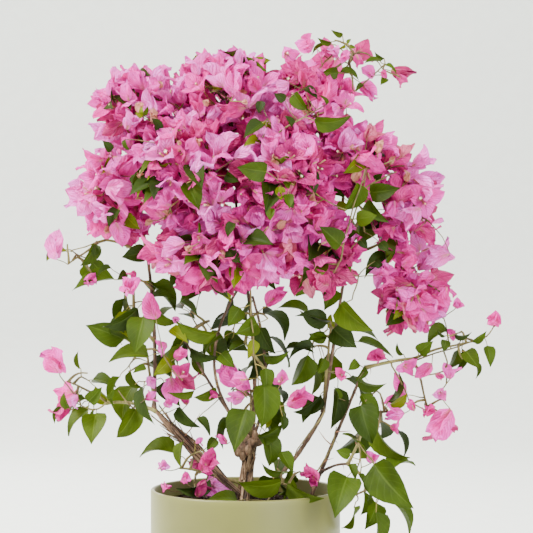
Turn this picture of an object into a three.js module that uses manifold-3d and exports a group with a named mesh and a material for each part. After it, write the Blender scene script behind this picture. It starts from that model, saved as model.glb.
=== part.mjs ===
// A bougainvillea bush in its pot: a short gnarled trunk with a flared foot, long arching boughs that fan out
// to a broad dome of papery bracts, and leafy shoots that hang below it and over the rim.
// Millimetres, +Z up. The origin is the middle of the pot's flat underside. -Y is the bush's front.

import * as THREE from "three";
import { mergeVertices } from "three/addons/utils/BufferGeometryUtils.js";
import Module from "manifold-3d";

const wasm = await Module();
wasm.setup();

// Driving dimensions.
const POT_DIAMETER = 190;
const POT_HEIGHT = 175;
const POT_WALL = 4;
const POT_FLOOR = 7;
const POT_FOOT_BEVEL = 3;
const POT_SIDES = 36;
const SOIL_BELOW_RIM = 15;
const SOIL_TOP = POT_HEIGHT - SOIL_BELOW_RIM;
const GAP = 0.3; // between pieces that touch
const SUNK = 4; // how far below the soil a limb's curve starts
const TRUNK = {
  foot: [1, 0], head: [7, 0, 224], bow: [-3, 2, 0], thick: [8.5, 6.2], flare: 4.5, sides: 9, steps: 7,
};
const FLARE_ENDS = 9; // how fast a limb's flared foot narrows along it
const STOUT = 2.5; // the radius at which a bough is barked and rounder
const STOUT_BOUGH = { sides: 6, steps: 5 };
const SLENDER_BOUGH = { sides: 5, steps: 4 };
const CROWN_HEART = new THREE.Vector3(5, 0, 470);
const GOLDEN_TURN = Math.PI * (3 - Math.sqrt(5)); // from one twig's heading to the next
const LOW_START = 0.3; // how far up the trunk the masses below its head start
const STEM_JOINTS = [0.2, 0.35, 0.5, 0.65, 0.8, 0.9, 0.99];
const BRANCH_JOINTS = [0.3, 0.5, 0.7, 0.85, 0.98];
const LEAF = { length: 44, width: 30, thick: 1.2, fold: 3, droop: 0.12, widest: 0.4 };
const BRACT = { out: 27, up: 17, width: 34, widest: 0.6, shoulder: 0.8, thick: 2.2, notch: 4 };
const LEAF_START = { scale: 1.15, room: 22, off: 17.6 }; // a leaf's first scale, and the room before it and
const FLOWER_START = { scale: 1.25, room: 17, off: 15 }; // beside it that it is given, and so for a flower
const TRIES = 18; // how often a twig is tried, each time a little shorter and with a smaller flower or leaf
const TRY_SHRINK = 0.025;
const TRY_STRAY = 0.02; // how much further each try's heading strays
const HEADING_STRAY = 0.15;
const FACING_STRAY = 0.3;
const SHORTEST_TWIG = 6;
const CROWN_HEADINGS = 1.6; // headings tried for each flower of the crown, since inward ones are left out
const INWARD = -0.25; // the share of a heading along the crown's outward direction below which it is left out
const MERGE_WITHIN = 0.05; // corners this near each other become one
const STEM = { thick: [1.9, 1.5], sides: 4, steps: 3, lift: 0.04, crownEnd: 0.1, shootEnd: 0.35 };
const BRANCH = { thick: [1.6, 1.3], sides: 3, steps: 2, lift: 3, reach: 0.7, off: 5 };
const FIRST_BRANCH = 0.97; // the share of the stem where it parts, and how far below it each next one does
const BRANCH_STEP = 0.12;
const BRANCH_OUTWARD = 0.5;
const TWIG_FOOT = 0.7; // radius of a twig's foot; it comes to a point in the leaf or flower that it bears
const LEAF_HOLD = 6; // how far into a leaf its twig reaches
const LEAF_OUTWARD = 0.5; // how far its heading turns a leaf off its twig's line
const LEAF_HANG = { least: 0.4, more: 0.6 };
const FLOWER_HOLD = [4.6, 1.5, 3.2]; // where in a flower its twig ends: within one bract, beside its midrib
const SKIN_SLACK = 9; // how far the tips of leaves and bracts may stand out of their mass's ellipsoid
const SPACE_MARGIN = 0.6; // half of what is left free between two masses

// Each bough is one tapering limb. It leaves its parent at a share of the parent's length, or the soil at a
// place of its own, and ends at its tip; its middle stands off the straight line by bow. Thick holds its
// radii at foot and tip.
const boughOf = (name, from, at, tip, bow, thick) => ({ name, from, at, tip, bow, thick });
const BOUGHS = [
  boughOf("bough_left_cane", "trunk", 0.14, [-92, 0, 255], [2, -6, -5], [4.4, 3.2]),
  boughOf("bough_left_riser", "bough_left_cane", 1, [-100, 8, 416], [4, -2, 0], [2.9, 2.1]),
  boughOf("bough_left_shoot", "bough_left_cane", 0.97, [-138, -6, 261], [0, -2, 4], [1.9, 1.4]),
  boughOf("bough_middle_left", "trunk", 1, [-8, -12, 374], [-30, -8, -5], [2.3, 1.7]),
  boughOf("bough_middle_right", "trunk", 1, [7, -10, 368], [13, -12, -5], [2.4, 1.7]),
  boughOf("bough_middle_riser", "trunk", 0.97, [-2, 18, 396], [6, 12, 0], [3.3, 2.4]),
  boughOf("bough_inner_left", "trunk", 0.93, [-62, -4, 326], [-2, -8, 0], [2.4, 1.6]),
  boughOf("bough_right_cane", "trunk", 0.1, [78, 2, 251], [4, 6, -10], [3.8, 2.8]),
  boughOf("bough_right_riser", "bough_right_cane", 1, [104, 4, 416], [0, 2, 0], [2.7, 2.0]),
  boughOf("bough_right_shoot", "soil", [62, 6], [119, -6, 296], [0, 5, 0], [3.0, 2.0]),
  boughOf("bough_right_far", "bough_right_shoot", 1, [168, -10, 306], [0, 0, 1], [1.9, 1.5]),
  boughOf("bough_low_right", "bough_right_shoot", 0.24, [101, -32, 203], [0, -4, 3], [2.2, 1.7]),
  boughOf("bough_low_right_riser", "bough_low_right", 1, [119, -16, 250], [3, -2, 0], [1.6, 1.2]),
  boughOf("bough_left_outer", "bough_left_riser", 0.93, [-140, -6, 424], [0, 0, 4], [1.8, 1.3]),
  boughOf("bough_left_inner", "bough_left_riser", 0.42, [-112, -10, 352], [-2, -3, 0], [1.7, 1.3]),
  boughOf("bough_middle_inner", "bough_middle_right", 0.5, [0, -24, 322], [0, -3, 0], [1.6, 1.2]),
  boughOf("bough_crown_left", "bough_left_riser", 1, [-102, 2, 484], [-4, 4, 0], [2.0, 1.6]),
  boughOf("bough_crown_centre", "bough_middle_riser", 1, [-8, 2, 502], [-4, 8, 0], [2.3, 1.8]),
  boughOf("bough_crown_right", "bough_right_riser", 1, [100, 0, 480], [-4, 6, 0], [1.9, 1.5]),
  boughOf("bough_crown_outer", "bough_right_riser", 0.97, [150, -2, 432], [2, 0, -4], [1.7, 1.4]),
  boughOf("bough_crown_branch", "bough_crown_centre", 1, [74, -26, 552], [2, -12, -6], [1.7, 1.4]),
  boughOf("bough_top_sprig", "bough_crown_branch", 1, [80, -10, 588], [-3, 0, 0], [1.4, 1.1]),
];

// Each mass of foliage keeps to the ellipsoid of reach about its centre and to its own side of its
// neighbours. It grows from its bough's tip or from the trunk, and is given so many flowers of three bracts,
// so many leaves and so many side branches.
const massOf = (name, from, centre, reach, blooms, leaves, forks) => (
  { name, from, centre, reach, blooms, leaves, forks });
const MASSES = [
  massOf("crown_left", "bough_crown_left", [-132, -2, 468], [48, 66, 56], 23, 1, 3),
  massOf("crown_left_top", "bough_crown_left", [-106, 2, 553], [54, 66, 50], 25, 0, 3),
  massOf("crown_left_front", "bough_crown_left", [-58, -52, 490], [58, 54, 64], 23, 1, 3),
  massOf("crown_left_back", "bough_crown_left", [-58, 54, 488], [60, 54, 64], 23, 2, 3),
  massOf("crown_top", "bough_crown_centre", [-19, 2, 567], [61, 84, 49], 28, 0, 3),
  massOf("crown_top_right", "bough_crown_branch", [68, 2, 560], [60, 76, 50], 27, 1, 3),
  massOf("crown_middle_front", "bough_crown_centre", [34, -54, 486], [58, 52, 62], 23, 1, 3),
  massOf("crown_middle_back", "bough_crown_centre", [34, 54, 488], [62, 52, 64], 23, 2, 3),
  massOf("crown_right_shoulder", "bough_crown_right", [113, -2, 501], [53, 68, 54], 25, 1, 3),
  massOf("crown_right", "bough_crown_outer", [160, -2, 449], [43, 56, 63], 21, 1, 3),
  massOf("crown_low_front", "bough_middle_left", [-20, -46, 416], [82, 50, 50], 25, 1, 3),
  massOf("crown_low_back", "bough_middle_riser", [-20, 48, 420], [80, 46, 46], 21, 3, 3),
  massOf("crown_low_right", "bough_right_riser", [76, -30, 416], [42, 52, 50], 15, 1, 3),
  massOf("crown_right_hanging", "bough_crown_outer", [165, -8, 373], [51, 42, 48], 17, 0, 3),
  massOf("sprig_top", "bough_top_sprig", [98, -12, 604], [64, 30, 32], 5, 8, 2),
  massOf("sprig_left_outer", "bough_left_outer", [-166, -8, 406], [40, 26, 32], 2, 6, 2),
  massOf("shoots_left_upper", "bough_left_inner", [-112, -14, 376], [36, 36, 36], 2, 8, 2),
  massOf("shoots_left_lower", "bough_left_cane", [-98, -6, 300], [42, 40, 48], 4, 12, 2),
  massOf("spray_left", "bough_left_shoot", [-164, -10, 276], [47, 28, 40], 2, 10, 2),
  massOf("shoots_inner_left", "bough_inner_left", [-46, -4, 336], [34, 36, 40], 1, 12, 2),
  massOf("shoots_middle_upper", "bough_middle_inner", [4, -12, 340], [32, 36, 36], 1, 12, 2),
  massOf("shoots_middle_lower", "trunk", [6, -22, 262], [42, 38, 46], 3, 14, 2),
  massOf("shoots_low_left", "trunk", [-50, -8, 193], [48, 44, 32], 4, 6, 2),
  massOf("shoots_low_middle", "trunk", [34, -42, 184], [46, 50, 24], 1, 12, 2),
  massOf("shoots_right_upper", "bough_right_riser", [116, -14, 446], [32, 40, 48], 1, 10, 2),
  massOf("shoots_right_middle", "bough_right_cane", [84, -4, 318], [40, 38, 62], 1, 18, 2),
  massOf("spray_right", "bough_right_far", [214, -14, 320], [47, 24, 32], 1, 10, 2),
  massOf("spray_right_hanging", "bough_right_far", [180, -12, 262], [38, 26, 38], 5, 0, 2),
  massOf("shoots_right_inner", "bough_low_right_riser", [132, -20, 252], [28, 26, 36], 0, 10, 2),
  massOf("shoots_low_right", "bough_low_right", [122, -52, 182], [46, 30, 40], 1, 12, 2),
];

const COLOURS = {
  pot: { color: 0xb9b98c, roughness: 0.55 },
  soil: { color: 0x32241b, roughness: 1 },
  bark: { color: 0x76573a, roughness: 0.9 },
  shoot: { color: 0x7c6a35, roughness: 0.7 },
  bracts: { color: 0xd0619f, roughness: 0.6 },
  leaves: { color: 0x5c7a22, roughness: 0.45 },
};

// The same numbers for the same seed, every time.
function seeded(seed) {
  let state = seed >>> 0;
  return () => {
    state = (state + 0x6d2b79f5) >>> 0;
    let mixed = Math.imul(state ^ (state >>> 15), state | 1);
    mixed ^= mixed + Math.imul(mixed ^ (mixed >>> 7), mixed | 61);
    return ((mixed ^ (mixed >>> 14)) >>> 0) / 4294967296;
  };
}

function vec(point) {
  return new THREE.Vector3(...point);
}

// A closed mesh as a solid that can be joined and cut.
function solidOf(geometry) {
  const bare = geometry.clone();
  bare.deleteAttribute("normal");
  bare.deleteAttribute("uv");
  const merged = mergeVertices(bare, 1e-4);
  const vertProperties = new Float32Array(merged.attributes.position.array);
  const triVerts = new Uint32Array(merged.index.array);
  return new wasm.Manifold(new wasm.Mesh({ numProp: 3, vertProperties, triVerts }));
}

// The same solid as a geometry that a mesh can show.
function geometryOf(solid) {
  const mesh = solid.getMesh();
  const geometry = new THREE.BufferGeometry();
  geometry.setAttribute("position", new THREE.BufferAttribute(new Float32Array(mesh.vertProperties), 3));
  geometry.setIndex(new THREE.BufferAttribute(new Uint32Array(mesh.triVerts), 1));
  geometry.computeVertexNormals();
  return geometry;
}

// A curve from start to end whose middle stands off the straight line by bow.
function bowed(start, end, bow) {
  const control = start.clone().add(end).multiplyScalar(0.5).addScaledVector(bow, 2);
  return new THREE.QuadraticBezierCurve3(start, control, end);
}

// A closed cylinder of sides and steps whose rings are carried to their places on the curve. grow is added to
// the radius and to both ends; flare widens the foot.
function limbGeometry({ curve, thick, sides, steps, flare = 0 }, grow = 0) {
  const tube = new THREE.CylinderGeometry(1, 1, 1, sides, steps);
  const frames = curve.computeFrenetFrames(steps, false);
  const position = tube.attributes.position;
  for (let i = 0; i < position.count; i++) {
    const along = position.getY(i) + 0.5;
    const ring = Math.round(along * steps);
    const radius = thick[0] + (thick[1] - thick[0]) * along + flare * Math.exp(-FLARE_ENDS * along) + grow;
    const ends = { 0: -grow, [steps]: grow };
    const point = curve.getPointAt(along)
      .addScaledVector(frames.normals[ring], radius * position.getX(i))
      .addScaledVector(frames.binormals[ring], -radius * position.getZ(i))
      .addScaledVector(frames.tangents[ring], ends[ring] ?? 0);
    position.setXYZ(i, point.x, point.y, point.z);
  }
  return tube;
}

// A blade with a ridge on each face, folded up along its midrib: eight faces. It is made along +X with its
// upper face to +Z, and placed by a frame of three directions.
function bladeSolid({ blade, foot, along, upward, scale }) {
  const shape = new THREE.OctahedronGeometry(1, 0);
  const position = shape.attributes.position;
  const length = blade.length * scale;
  for (let i = 0; i < position.count; i++) {
    const [end, side, face] = [position.getX(i), position.getY(i), position.getZ(i)];
    const x = Math.abs(end) > 0.5 ? (end > 0 ? length : 0) : length * blade.widest;
    const sag = end > 0.5 ? length * blade.droop : 0;
    const z = face * blade.thick / 2 + Math.abs(side) * blade.fold * scale - sag;
    position.setXYZ(i, x, side * blade.width * scale / 2, z);
  }
  const sideways = upward.clone().cross(along).normalize();
  const normal = along.clone().cross(sideways).normalize();
  const placed = new THREE.Matrix4().makeBasis(along, sideways, normal);
  placed.setPosition(foot.clone().addScaledVector(along, -LEAF_HOLD));
  return solidOf(shape.applyMatrix4(placed));
}

// The three bracts of a flower as one thin cup: a sphere of two poles and a ring of twelve corners, whose
// ring is drawn out to three tips, the shoulders beside each and the notches between them.
function flowerSolid({ foot, heading, spin, scale }) {
  const cup = new THREE.SphereGeometry(1, 12, 2).rotateX(Math.PI / 2);
  const shoulder = Math.atan2(BRACT.width / 2, BRACT.out * BRACT.widest);
  const shoulderOut = Math.hypot(BRACT.width / 2, BRACT.out * BRACT.widest);
  const corners = [
    { turn: 0, out: BRACT.out, up: BRACT.up },
    { turn: shoulder, out: shoulderOut, up: BRACT.up * BRACT.shoulder },
    { turn: Math.PI / 3, out: BRACT.notch, up: BRACT.notch / 2 },
    { turn: 2 * Math.PI / 3 - shoulder, out: shoulderOut, up: BRACT.up * BRACT.shoulder },
  ];
  const position = cup.attributes.position;
  for (let i = 0; i < position.count; i++) {
    const pole = position.getZ(i);
    if (Math.abs(pole) > 0.5) {
      position.setXYZ(i, 0, 0, pole * BRACT.thick / 2);
      continue;
    }
    const step = (Math.round(Math.atan2(position.getY(i), position.getX(i)) / (Math.PI / 6)) + 12) % 12;
    const { turn, out, up } = corners[step % 4];
    const angle = Math.floor(step / 4) * 2 * Math.PI / 3 + turn;
    position.setXYZ(i, out * scale * Math.cos(angle), out * scale * Math.sin(angle), up * scale);
  }
  const across = new THREE.Vector3(0.3, 0.2, 1).cross(heading).normalize().applyAxisAngle(heading, spin);
  const placed = new THREE.Matrix4().makeBasis(across, heading.clone().cross(across), heading);
  const hold = vec(FLOWER_HOLD).applyMatrix4(placed);
  return solidOf(cup.applyMatrix4(placed.setPosition(foot.clone().sub(hold))));
}

// Cuts a piece clear of what it meets and drops the loose scraps.
function clearOf(solid, others) {
  const box = solid.boundingBox();
  const near = others.filter((other) => boxesMeet(box, other.boundingBox()));
  if (!near.length) return solid;
  const cut = solid.subtract(wasm.Manifold.union(near));
  return cut.decompose().reduce((most, part) => (part.volume() > most.volume() ? part : most));
}

function boxesMeet(a, b) {
  return [0, 1, 2].every((i) => a.min[i] <= b.max[i] && b.min[i] <= a.max[i]);
}

// The pot: a straight wall with a rounded rim and a bevelled foot, turned about Z.
function makePot() {
  const outer = POT_DIAMETER / 2;
  const inner = outer - POT_WALL;
  const profile = [
    [0, 0], [outer - POT_FOOT_BEVEL, 0], [outer, POT_FOOT_BEVEL], [outer, POT_HEIGHT - POT_WALL / 2],
    [outer - POT_WALL / 2, POT_HEIGHT], [inner, POT_HEIGHT - POT_WALL / 2], [inner, POT_FLOOR],
    [0, POT_FLOOR],
  ];
  const turned = new THREE.LatheGeometry(profile.map((point) => new THREE.Vector2(...point)), POT_SIDES);
  return solidOf(turned.rotateX(Math.PI / 2));
}

// The room that pot and soil take up, with the gap that others leave to them.
function makeFilledPot() {
  const outer = POT_DIAMETER / 2 + GAP;
  const inner = POT_DIAMETER / 2 - POT_WALL - GAP;
  const profile = [
    [0, -GAP], [outer, -GAP], [outer, POT_HEIGHT + GAP], [inner, POT_HEIGHT + GAP],
    [inner, SOIL_TOP + GAP], [0, SOIL_TOP + GAP],
  ];
  const turned = new THREE.LatheGeometry(profile.map((point) => new THREE.Vector2(...point)), POT_SIDES);
  return solidOf(turned.rotateX(Math.PI / 2));
}

// The soil fills the pot to a little below its rim.
function makeSoil() {
  const radius = POT_DIAMETER / 2 - POT_WALL - GAP;
  const depth = SOIL_TOP - POT_FLOOR - GAP;
  const fill = new THREE.CylinderGeometry(radius, radius, depth, POT_SIDES);
  return solidOf(fill.rotateX(Math.PI / 2).translate(0, 0, SOIL_TOP - depth / 2));
}

// Limbs by name, each with its curve, its radii, its solid and the room that others leave round it.
const limbs = new Map();

// A limb that starts in the soil is cut off flat just above it.
function addLimb(name, limb) {
  const cleared = [...limbs.values()].map((other) => other.room);
  const whole = solidOf(limbGeometry(limb)).trimByPlane([0, 0, 1], SOIL_TOP + GAP);
  limbs.set(name, { ...limb, solid: clearOf(whole, cleared), room: solidOf(limbGeometry(limb, GAP)) });
}

const filledPot = makeFilledPot();
const trunkFoot = vec([...TRUNK.foot, SOIL_TOP - SUNK]);
addLimb("trunk", { ...TRUNK, curve: bowed(trunkFoot, vec(TRUNK.head), vec(TRUNK.bow)) });
for (const { name, from, at, tip, bow, thick } of BOUGHS) {
  const start = from === "soil" ? vec([...at, SOIL_TOP - SUNK]) : limbs.get(from).curve.getPointAt(at);
  const fineness = thick[0] > STOUT ? STOUT_BOUGH : SLENDER_BOUGH;
  addLimb(name, { curve: bowed(start, vec(tip), vec(bow)), thick, ...fineness });
}

function isCrown(mass) {
  return mass.name.startsWith("crown");
}

// Each mass starts as one stem, from its bough's tip or the trunk's head through the middle of its space.
MASSES.forEach((mass, index) => {
  const parent = limbs.get(mass.from);
  const low = mass.from === "trunk" && mass.centre[2] < TRUNK.head[2];
  const start = parent.curve.getPointAt(low ? LOW_START : 1);
  const centre = vec(mass.centre);
  const onward = centre.clone().sub(start).normalize().multiply(vec(mass.reach));
  const end = centre.clone().addScaledVector(onward, isCrown(mass) ? STEM.crownEnd : STEM.shootEnd);
  const lift = new THREE.Vector3(0, 0, STEM.lift * start.distanceTo(end));
  mass.seed = 101 + 17 * index;
  mass.centre = centre;
  addLimb("stem of " + mass.name, { ...STEM, curve: bowed(start, end, lift) });
});

// How far along apart the plane between two masses lies, shared out by how far each of them reaches.
function shareOf(mass, other, apart) {
  const toward = apart.clone().normalize();
  const reaches = [mass, other].map(({ reach }) => toward.clone().multiply(vec(reach)).length());
  return apart.length() * reaches[0] / (reaches[0] + reaches[1]) - SPACE_MARGIN;
}

// How far a mass's space goes from its centre along a heading, to its ellipsoid or to a neighbour's plane,
// and how far what keeps inside the skin and clear of the planes by these margins can go.
function freeReach(mass, heading, insideSkin = -SKIN_SLACK, offPlanes = 0) {
  const toSkin = 1 / heading.clone().divide(vec(mass.reach)).length() - insideSkin;
  const toPlanes = MASSES.filter((other) => other !== mass).map((other) => {
    const apart = other.centre.clone().sub(mass.centre);
    const toward = heading.dot(apart) / apart.length();
    return toward > 0 ? (shareOf(mass, other, apart) - offPlanes) / toward : Infinity;
  });
  return Math.min(toSkin, ...toPlanes);
}

function inSpace(mass, point) {
  const offset = point.clone().sub(mass.centre);
  const distance = offset.length();
  return distance < 1 || distance < freeReach(mass, offset.divideScalar(distance));
}

function inRoom(mass, solid, foreign) {
  const { vertProperties } = solid.getMesh();
  for (let i = 0; i < vertProperties.length; i += 3) {
    if (!inSpace(mass, vec(vertProperties.subarray(i, i + 3)))) return false;
  }
  return foreign.intersect(solid).isEmpty();
}

// A straight three-sided twig from a sunk foot to a point.
function twigSolid(root, tip) {
  const length = root.distanceTo(tip);
  const cone = new THREE.ConeGeometry(TWIG_FOOT, length, 3, 1).translate(0, length / 2, 0);
  const ownAxis = new THREE.Vector3(0, 1, 0);
  const turned = new THREE.Quaternion().setFromUnitVectors(ownAxis, tip.clone().sub(root).normalize());
  return solidOf(cone.applyQuaternion(turned).translate(...root));
}

// A mass's side branches part from its stem; its twigs head evenly in all directions, those of the crown
// only outward. Each goes as far as leaves room for its flower or leaf, from the nearest joint of stem and
// branches. Flowers and leaves also stay clear of the earlier ones of their mass.
function growMass(mass) {
  const random = seeded(mass.seed);
  const jitter = (size) => vec([random() - 0.5, random() - 0.5, random() - 0.5]).multiplyScalar(2 * size);
  const own = limbs.get("stem of " + mass.name);
  const foreign = wasm.Manifold.union([filledPot, ...limbs.values().map((limb) => limb.room)]
    .filter((room) => room !== own.room));
  const crown = isCrown(mass);
  const outward = crown ? mass.centre.clone().sub(CROWN_HEART).normalize() : new THREE.Vector3();
  const joints = STEM_JOINTS.map((share) => own.curve.getPointAt(share))
    .filter((point) => inSpace(mass, point));
  const wood = [own.solid];
  const blades = [];
  const misses = (piece, others) => others.every((other) => piece.intersect(other).isEmpty());

  const ahead = own.curve.getTangentAt(1);
  const spread = new THREE.Vector3(0.2, 0.3, 1).cross(ahead).normalize();
  for (let k = 0; k < mass.forks; k++) {
    const side = spread.clone().applyAxisAngle(ahead, (k + 0.4 * random()) * 2 * Math.PI / mass.forks);
    const heading = side.addScaledVector(outward, BRANCH_OUTWARD).normalize();
    const out = BRANCH.reach * freeReach(mass, heading, 0, BRANCH.off);
    const end = mass.centre.clone().addScaledVector(heading, out);
    const start = own.curve.getPointAt(FIRST_BRANCH - BRANCH_STEP * k);
    const curve = bowed(start, end, new THREE.Vector3(0, 0, BRANCH.lift));
    const branch = solidOf(limbGeometry({ ...BRANCH, curve }));
    if (!inRoom(mass, branch, foreign)) continue;
    wood.push(branch);
    joints.push(...BRANCH_JOINTS.map((share) => curve.getPointAt(share)));
  }

  const count = mass.blooms + mass.leaves;
  const around = Math.round(count * (crown ? CROWN_HEADINGS : 1));
  for (let k = 0; k < around; k++) {
    const height = 1 - 2 * (k + 0.5) / around;
    const ring = Math.sqrt(1 - height * height);
    const turn = GOLDEN_TURN * k;
    const level = vec([ring * Math.cos(turn), ring * Math.sin(turn), height]);
    if (crown && level.dot(outward) < INWARD) continue;
    const blooming = (k * mass.blooms) % count < mass.blooms;
    for (let attempt = 0; attempt < TRIES; attempt++) {
      const first = blooming ? FLOWER_START : LEAF_START;
      const scale = first.scale - TRY_SHRINK * attempt;
      const heading = level.clone().add(jitter(HEADING_STRAY + TRY_STRAY * attempt)).normalize();
      const free = freeReach(mass, heading, first.room * scale, first.off * scale);
      const out = Math.max(SHORTEST_TWIG, free * (1 - TRY_SHRINK * attempt));
      const tip = mass.centre.clone().addScaledVector(heading, out);
      const nearer = (near, joint) => (joint.distanceTo(tip) < near.distanceTo(tip) ? joint : near);
      const root = joints.reduce(nearer);
      const facing = heading.clone().add(outward).add(jitter(FACING_STRAY)).normalize();
      const along = tip.clone().sub(root).normalize().addScaledVector(heading, LEAF_OUTWARD);
      along.add(new THREE.Vector3(0, 0, -LEAF_HANG.least - LEAF_HANG.more * random())).normalize();
      const upward = new THREE.Vector3(random() - 0.5, random() - 0.5, 1).add(heading);
      const blade = blooming
        ? flowerSolid({ foot: tip, heading: facing, spin: 2 * Math.PI * random(), scale })
        : bladeSolid({ blade: LEAF, foot: tip, along, upward, scale });
      const twig = twigSolid(root, tip);
      if (!inRoom(mass, twig, foreign) || !inRoom(mass, blade, foreign)) continue;
      if (!misses(twig, blades) || !misses(blade, [...wood, ...blades])) continue;
      if (joints.length > 1) joints.splice(joints.indexOf(root), 1);
      wood.push(twig);
      blades.push(blade);
      break;
    }
  }
  const joined = wasm.Manifold.union([...wood, ...blades]).simplify(MERGE_WITHIN);
  return joined.decompose().reduce((most, part) => (part.volume() > most.volume() ? part : most));
}

// Shows a solid as a mesh whose own origin is at the point it is placed by.
function meshOf(name, solid, colour, at) {
  const material = new THREE.MeshStandardMaterial({ ...COLOURS[colour], metalness: 0 });
  const mesh = new THREE.Mesh(geometryOf(solid.translate(at.clone().negate().toArray())), material);
  mesh.name = name;
  mesh.position.copy(at);
  return mesh;
}

const potting = new THREE.Group();
potting.add(meshOf("pot", makePot(), "pot", new THREE.Vector3(0, 0, 0)));
potting.add(meshOf("soil", makeSoil(), "soil", new THREE.Vector3(0, 0, POT_FLOOR + GAP)));

const wood = new THREE.Group();
wood.add(meshOf("trunk", limbs.get("trunk").solid, "bark", trunkFoot));
for (const { name, thick } of BOUGHS) {
  const { solid, curve } = limbs.get(name);
  wood.add(meshOf(name, solid, thick[0] > STOUT ? "bark" : "shoot", curve.getPointAt(0)));
}

const foliage = new THREE.Group();
for (const mass of MASSES) {
  const colour = mass.blooms > mass.leaves ? "bracts" : "leaves";
  foliage.add(meshOf(mass.name, growMass(mass), colour, mass.centre));
}

const bush = new THREE.Group();
bush.add(potting, wood, foliage);

export default bush;
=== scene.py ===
import math
import random

import bpy
import numpy as np
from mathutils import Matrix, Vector, noise


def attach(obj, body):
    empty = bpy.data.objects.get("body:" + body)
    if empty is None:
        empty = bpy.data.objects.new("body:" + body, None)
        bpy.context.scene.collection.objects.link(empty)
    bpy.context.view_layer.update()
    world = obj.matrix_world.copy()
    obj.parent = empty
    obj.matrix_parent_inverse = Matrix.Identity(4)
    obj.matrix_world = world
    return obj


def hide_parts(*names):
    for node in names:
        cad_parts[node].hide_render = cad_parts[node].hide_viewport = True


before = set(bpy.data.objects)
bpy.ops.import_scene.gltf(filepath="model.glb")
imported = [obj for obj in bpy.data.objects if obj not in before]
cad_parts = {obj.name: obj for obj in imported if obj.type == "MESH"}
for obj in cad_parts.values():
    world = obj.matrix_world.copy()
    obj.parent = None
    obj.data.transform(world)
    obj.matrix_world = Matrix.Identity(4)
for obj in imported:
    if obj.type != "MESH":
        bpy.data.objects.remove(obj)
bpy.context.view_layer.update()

# The stand: one sweep of pale seamless paper, rolled out over the floor and curved up behind the bush. It
# is lit by a broad soft lamp high on the left, a weaker one on the right and one behind the crown.
SWEEP_WIDTH = 14.0
SWEEP_DEPTH = 7.0
SWEEP_HEIGHT = 5.5
SWEEP_CURVE = 1.6
PAPER = (0.93, 0.95, 0.90, 1.0)

bpy.ops.object.select_all(action="DESELECT")
bpy.ops.mesh.primitive_plane_add(size=1)
sweep = bpy.context.object
sweep.name = "sweep"
sweep.scale = (SWEEP_WIDTH, SWEEP_DEPTH, 1)
bpy.ops.object.transform_apply(scale=True)
for edge in sweep.data.edges:
    edge.select = all(sweep.data.vertices[i].co.y > 0 for i in edge.vertices)
for corner in sweep.data.vertices:
    corner.select = corner.co.y > 0
sweep.data.polygons[0].select = False
bpy.ops.object.mode_set(mode="EDIT")
bpy.ops.mesh.select_mode(type="EDGE")
bpy.ops.mesh.extrude_region_move(TRANSFORM_OT_translate={"value": (0, 0, SWEEP_HEIGHT)})
bpy.ops.object.mode_set(mode="OBJECT")
for edge in sweep.data.edges:
    ends = [sweep.data.vertices[i].co for i in edge.vertices]
    edge.select = all(end.y > 0 and end.z < 0.01 for end in ends)
bpy.ops.object.mode_set(mode="EDIT")
bpy.ops.mesh.bevel(offset=SWEEP_CURVE, segments=24)
bpy.ops.object.mode_set(mode="OBJECT")
bpy.ops.object.shade_smooth()


def new_shader(name):
    material = bpy.data.materials.new(name)
    material.use_nodes = True
    tree = material.node_tree
    return material, tree, tree.nodes["Principled BSDF"]


def add_node(tree, kind, inputs=(), **settings):
    node = tree.nodes.new("ShaderNode" + kind)
    for key, value in settings.items():
        setattr(node, key, value)
    for socket, value in dict(inputs).items():
        if isinstance(value, bpy.types.NodeSocket):
            tree.links.new(value, node.inputs[socket])
        else:
            node.inputs[socket].default_value = value
    return node


def add_ramp(tree, factor, stops):
    ramp = add_node(tree, "ValToRGB", {0: factor})
    elements = ramp.color_ramp.elements
    while len(elements) < len(stops):
        elements.new(0.5)
    for element, (place, colour) in zip(elements, stops):
        element.position = place
        element.color = colour if len(colour) == 4 else (*colour, 1)
    return ramp.outputs["Color"]


def own_place(tree, scale=(1, 1, 1)):
    spot = add_node(tree, "TexCoord")
    return add_node(tree, "Mapping", {"Vector": spot.outputs["Object"], "Scale": scale}).outputs["Vector"]


def add_bump(tree, shading, height, strength, distance):
    bump = add_node(tree, "Bump", {"Height": height, "Strength": strength, "Distance": distance})
    tree.links.new(bump.outputs["Normal"], shading.inputs["Normal"])


paper, tree, shading = new_shader("seamless_paper")
grain = add_node(tree, "TexNoise", {"Vector": own_place(tree), "Scale": 30.0, "Detail": 4.0})
tone = add_ramp(tree, grain.outputs["Fac"], [(0.3, [0.97 * c for c in PAPER[:3]]), (0.7, PAPER)])
tree.links.new(tone, shading.inputs["Base Color"])
shading.inputs["Roughness"].default_value = 0.95
sweep.data.materials.append(paper)

CAMERA_PLACE = (0.0211, -1.694, 0.3976)
CAMERA_LENS = 113.9
bpy.ops.object.camera_add(location=CAMERA_PLACE, rotation=(math.pi / 2, 0, 0))
camera = bpy.context.object
camera.data.lens = CAMERA_LENS
camera.data.sensor_width = 36
bpy.context.scene.camera = camera


def soft_lamp(name, place, aim, size, power, colour):
    bpy.ops.object.light_add(type="AREA", location=place)
    lamp = bpy.context.object
    lamp.name = name
    lamp.rotation_euler = (Vector(aim) - Vector(place)).to_track_quat("-Z", "Y").to_euler()
    lamp.data.shape = "DISK"
    lamp.data.size = size
    lamp.data.energy = power
    lamp.data.color = colour


soft_lamp("lamp_left", (-2.0, -0.95, 2.3), (0, 0, 0.4), 0.7, 298, (1.0, 0.98, 0.95))
soft_lamp("lamp_right", (1.5, -2.0, 1.3), (0, 0, 0.35), 1.2, 108, (0.97, 0.99, 1.0))
soft_lamp("lamp_behind", (-0.6, 1.6, 1.7), (0, 0, 0.5), 1.4, 60, (1.0, 1.0, 0.97))

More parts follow.
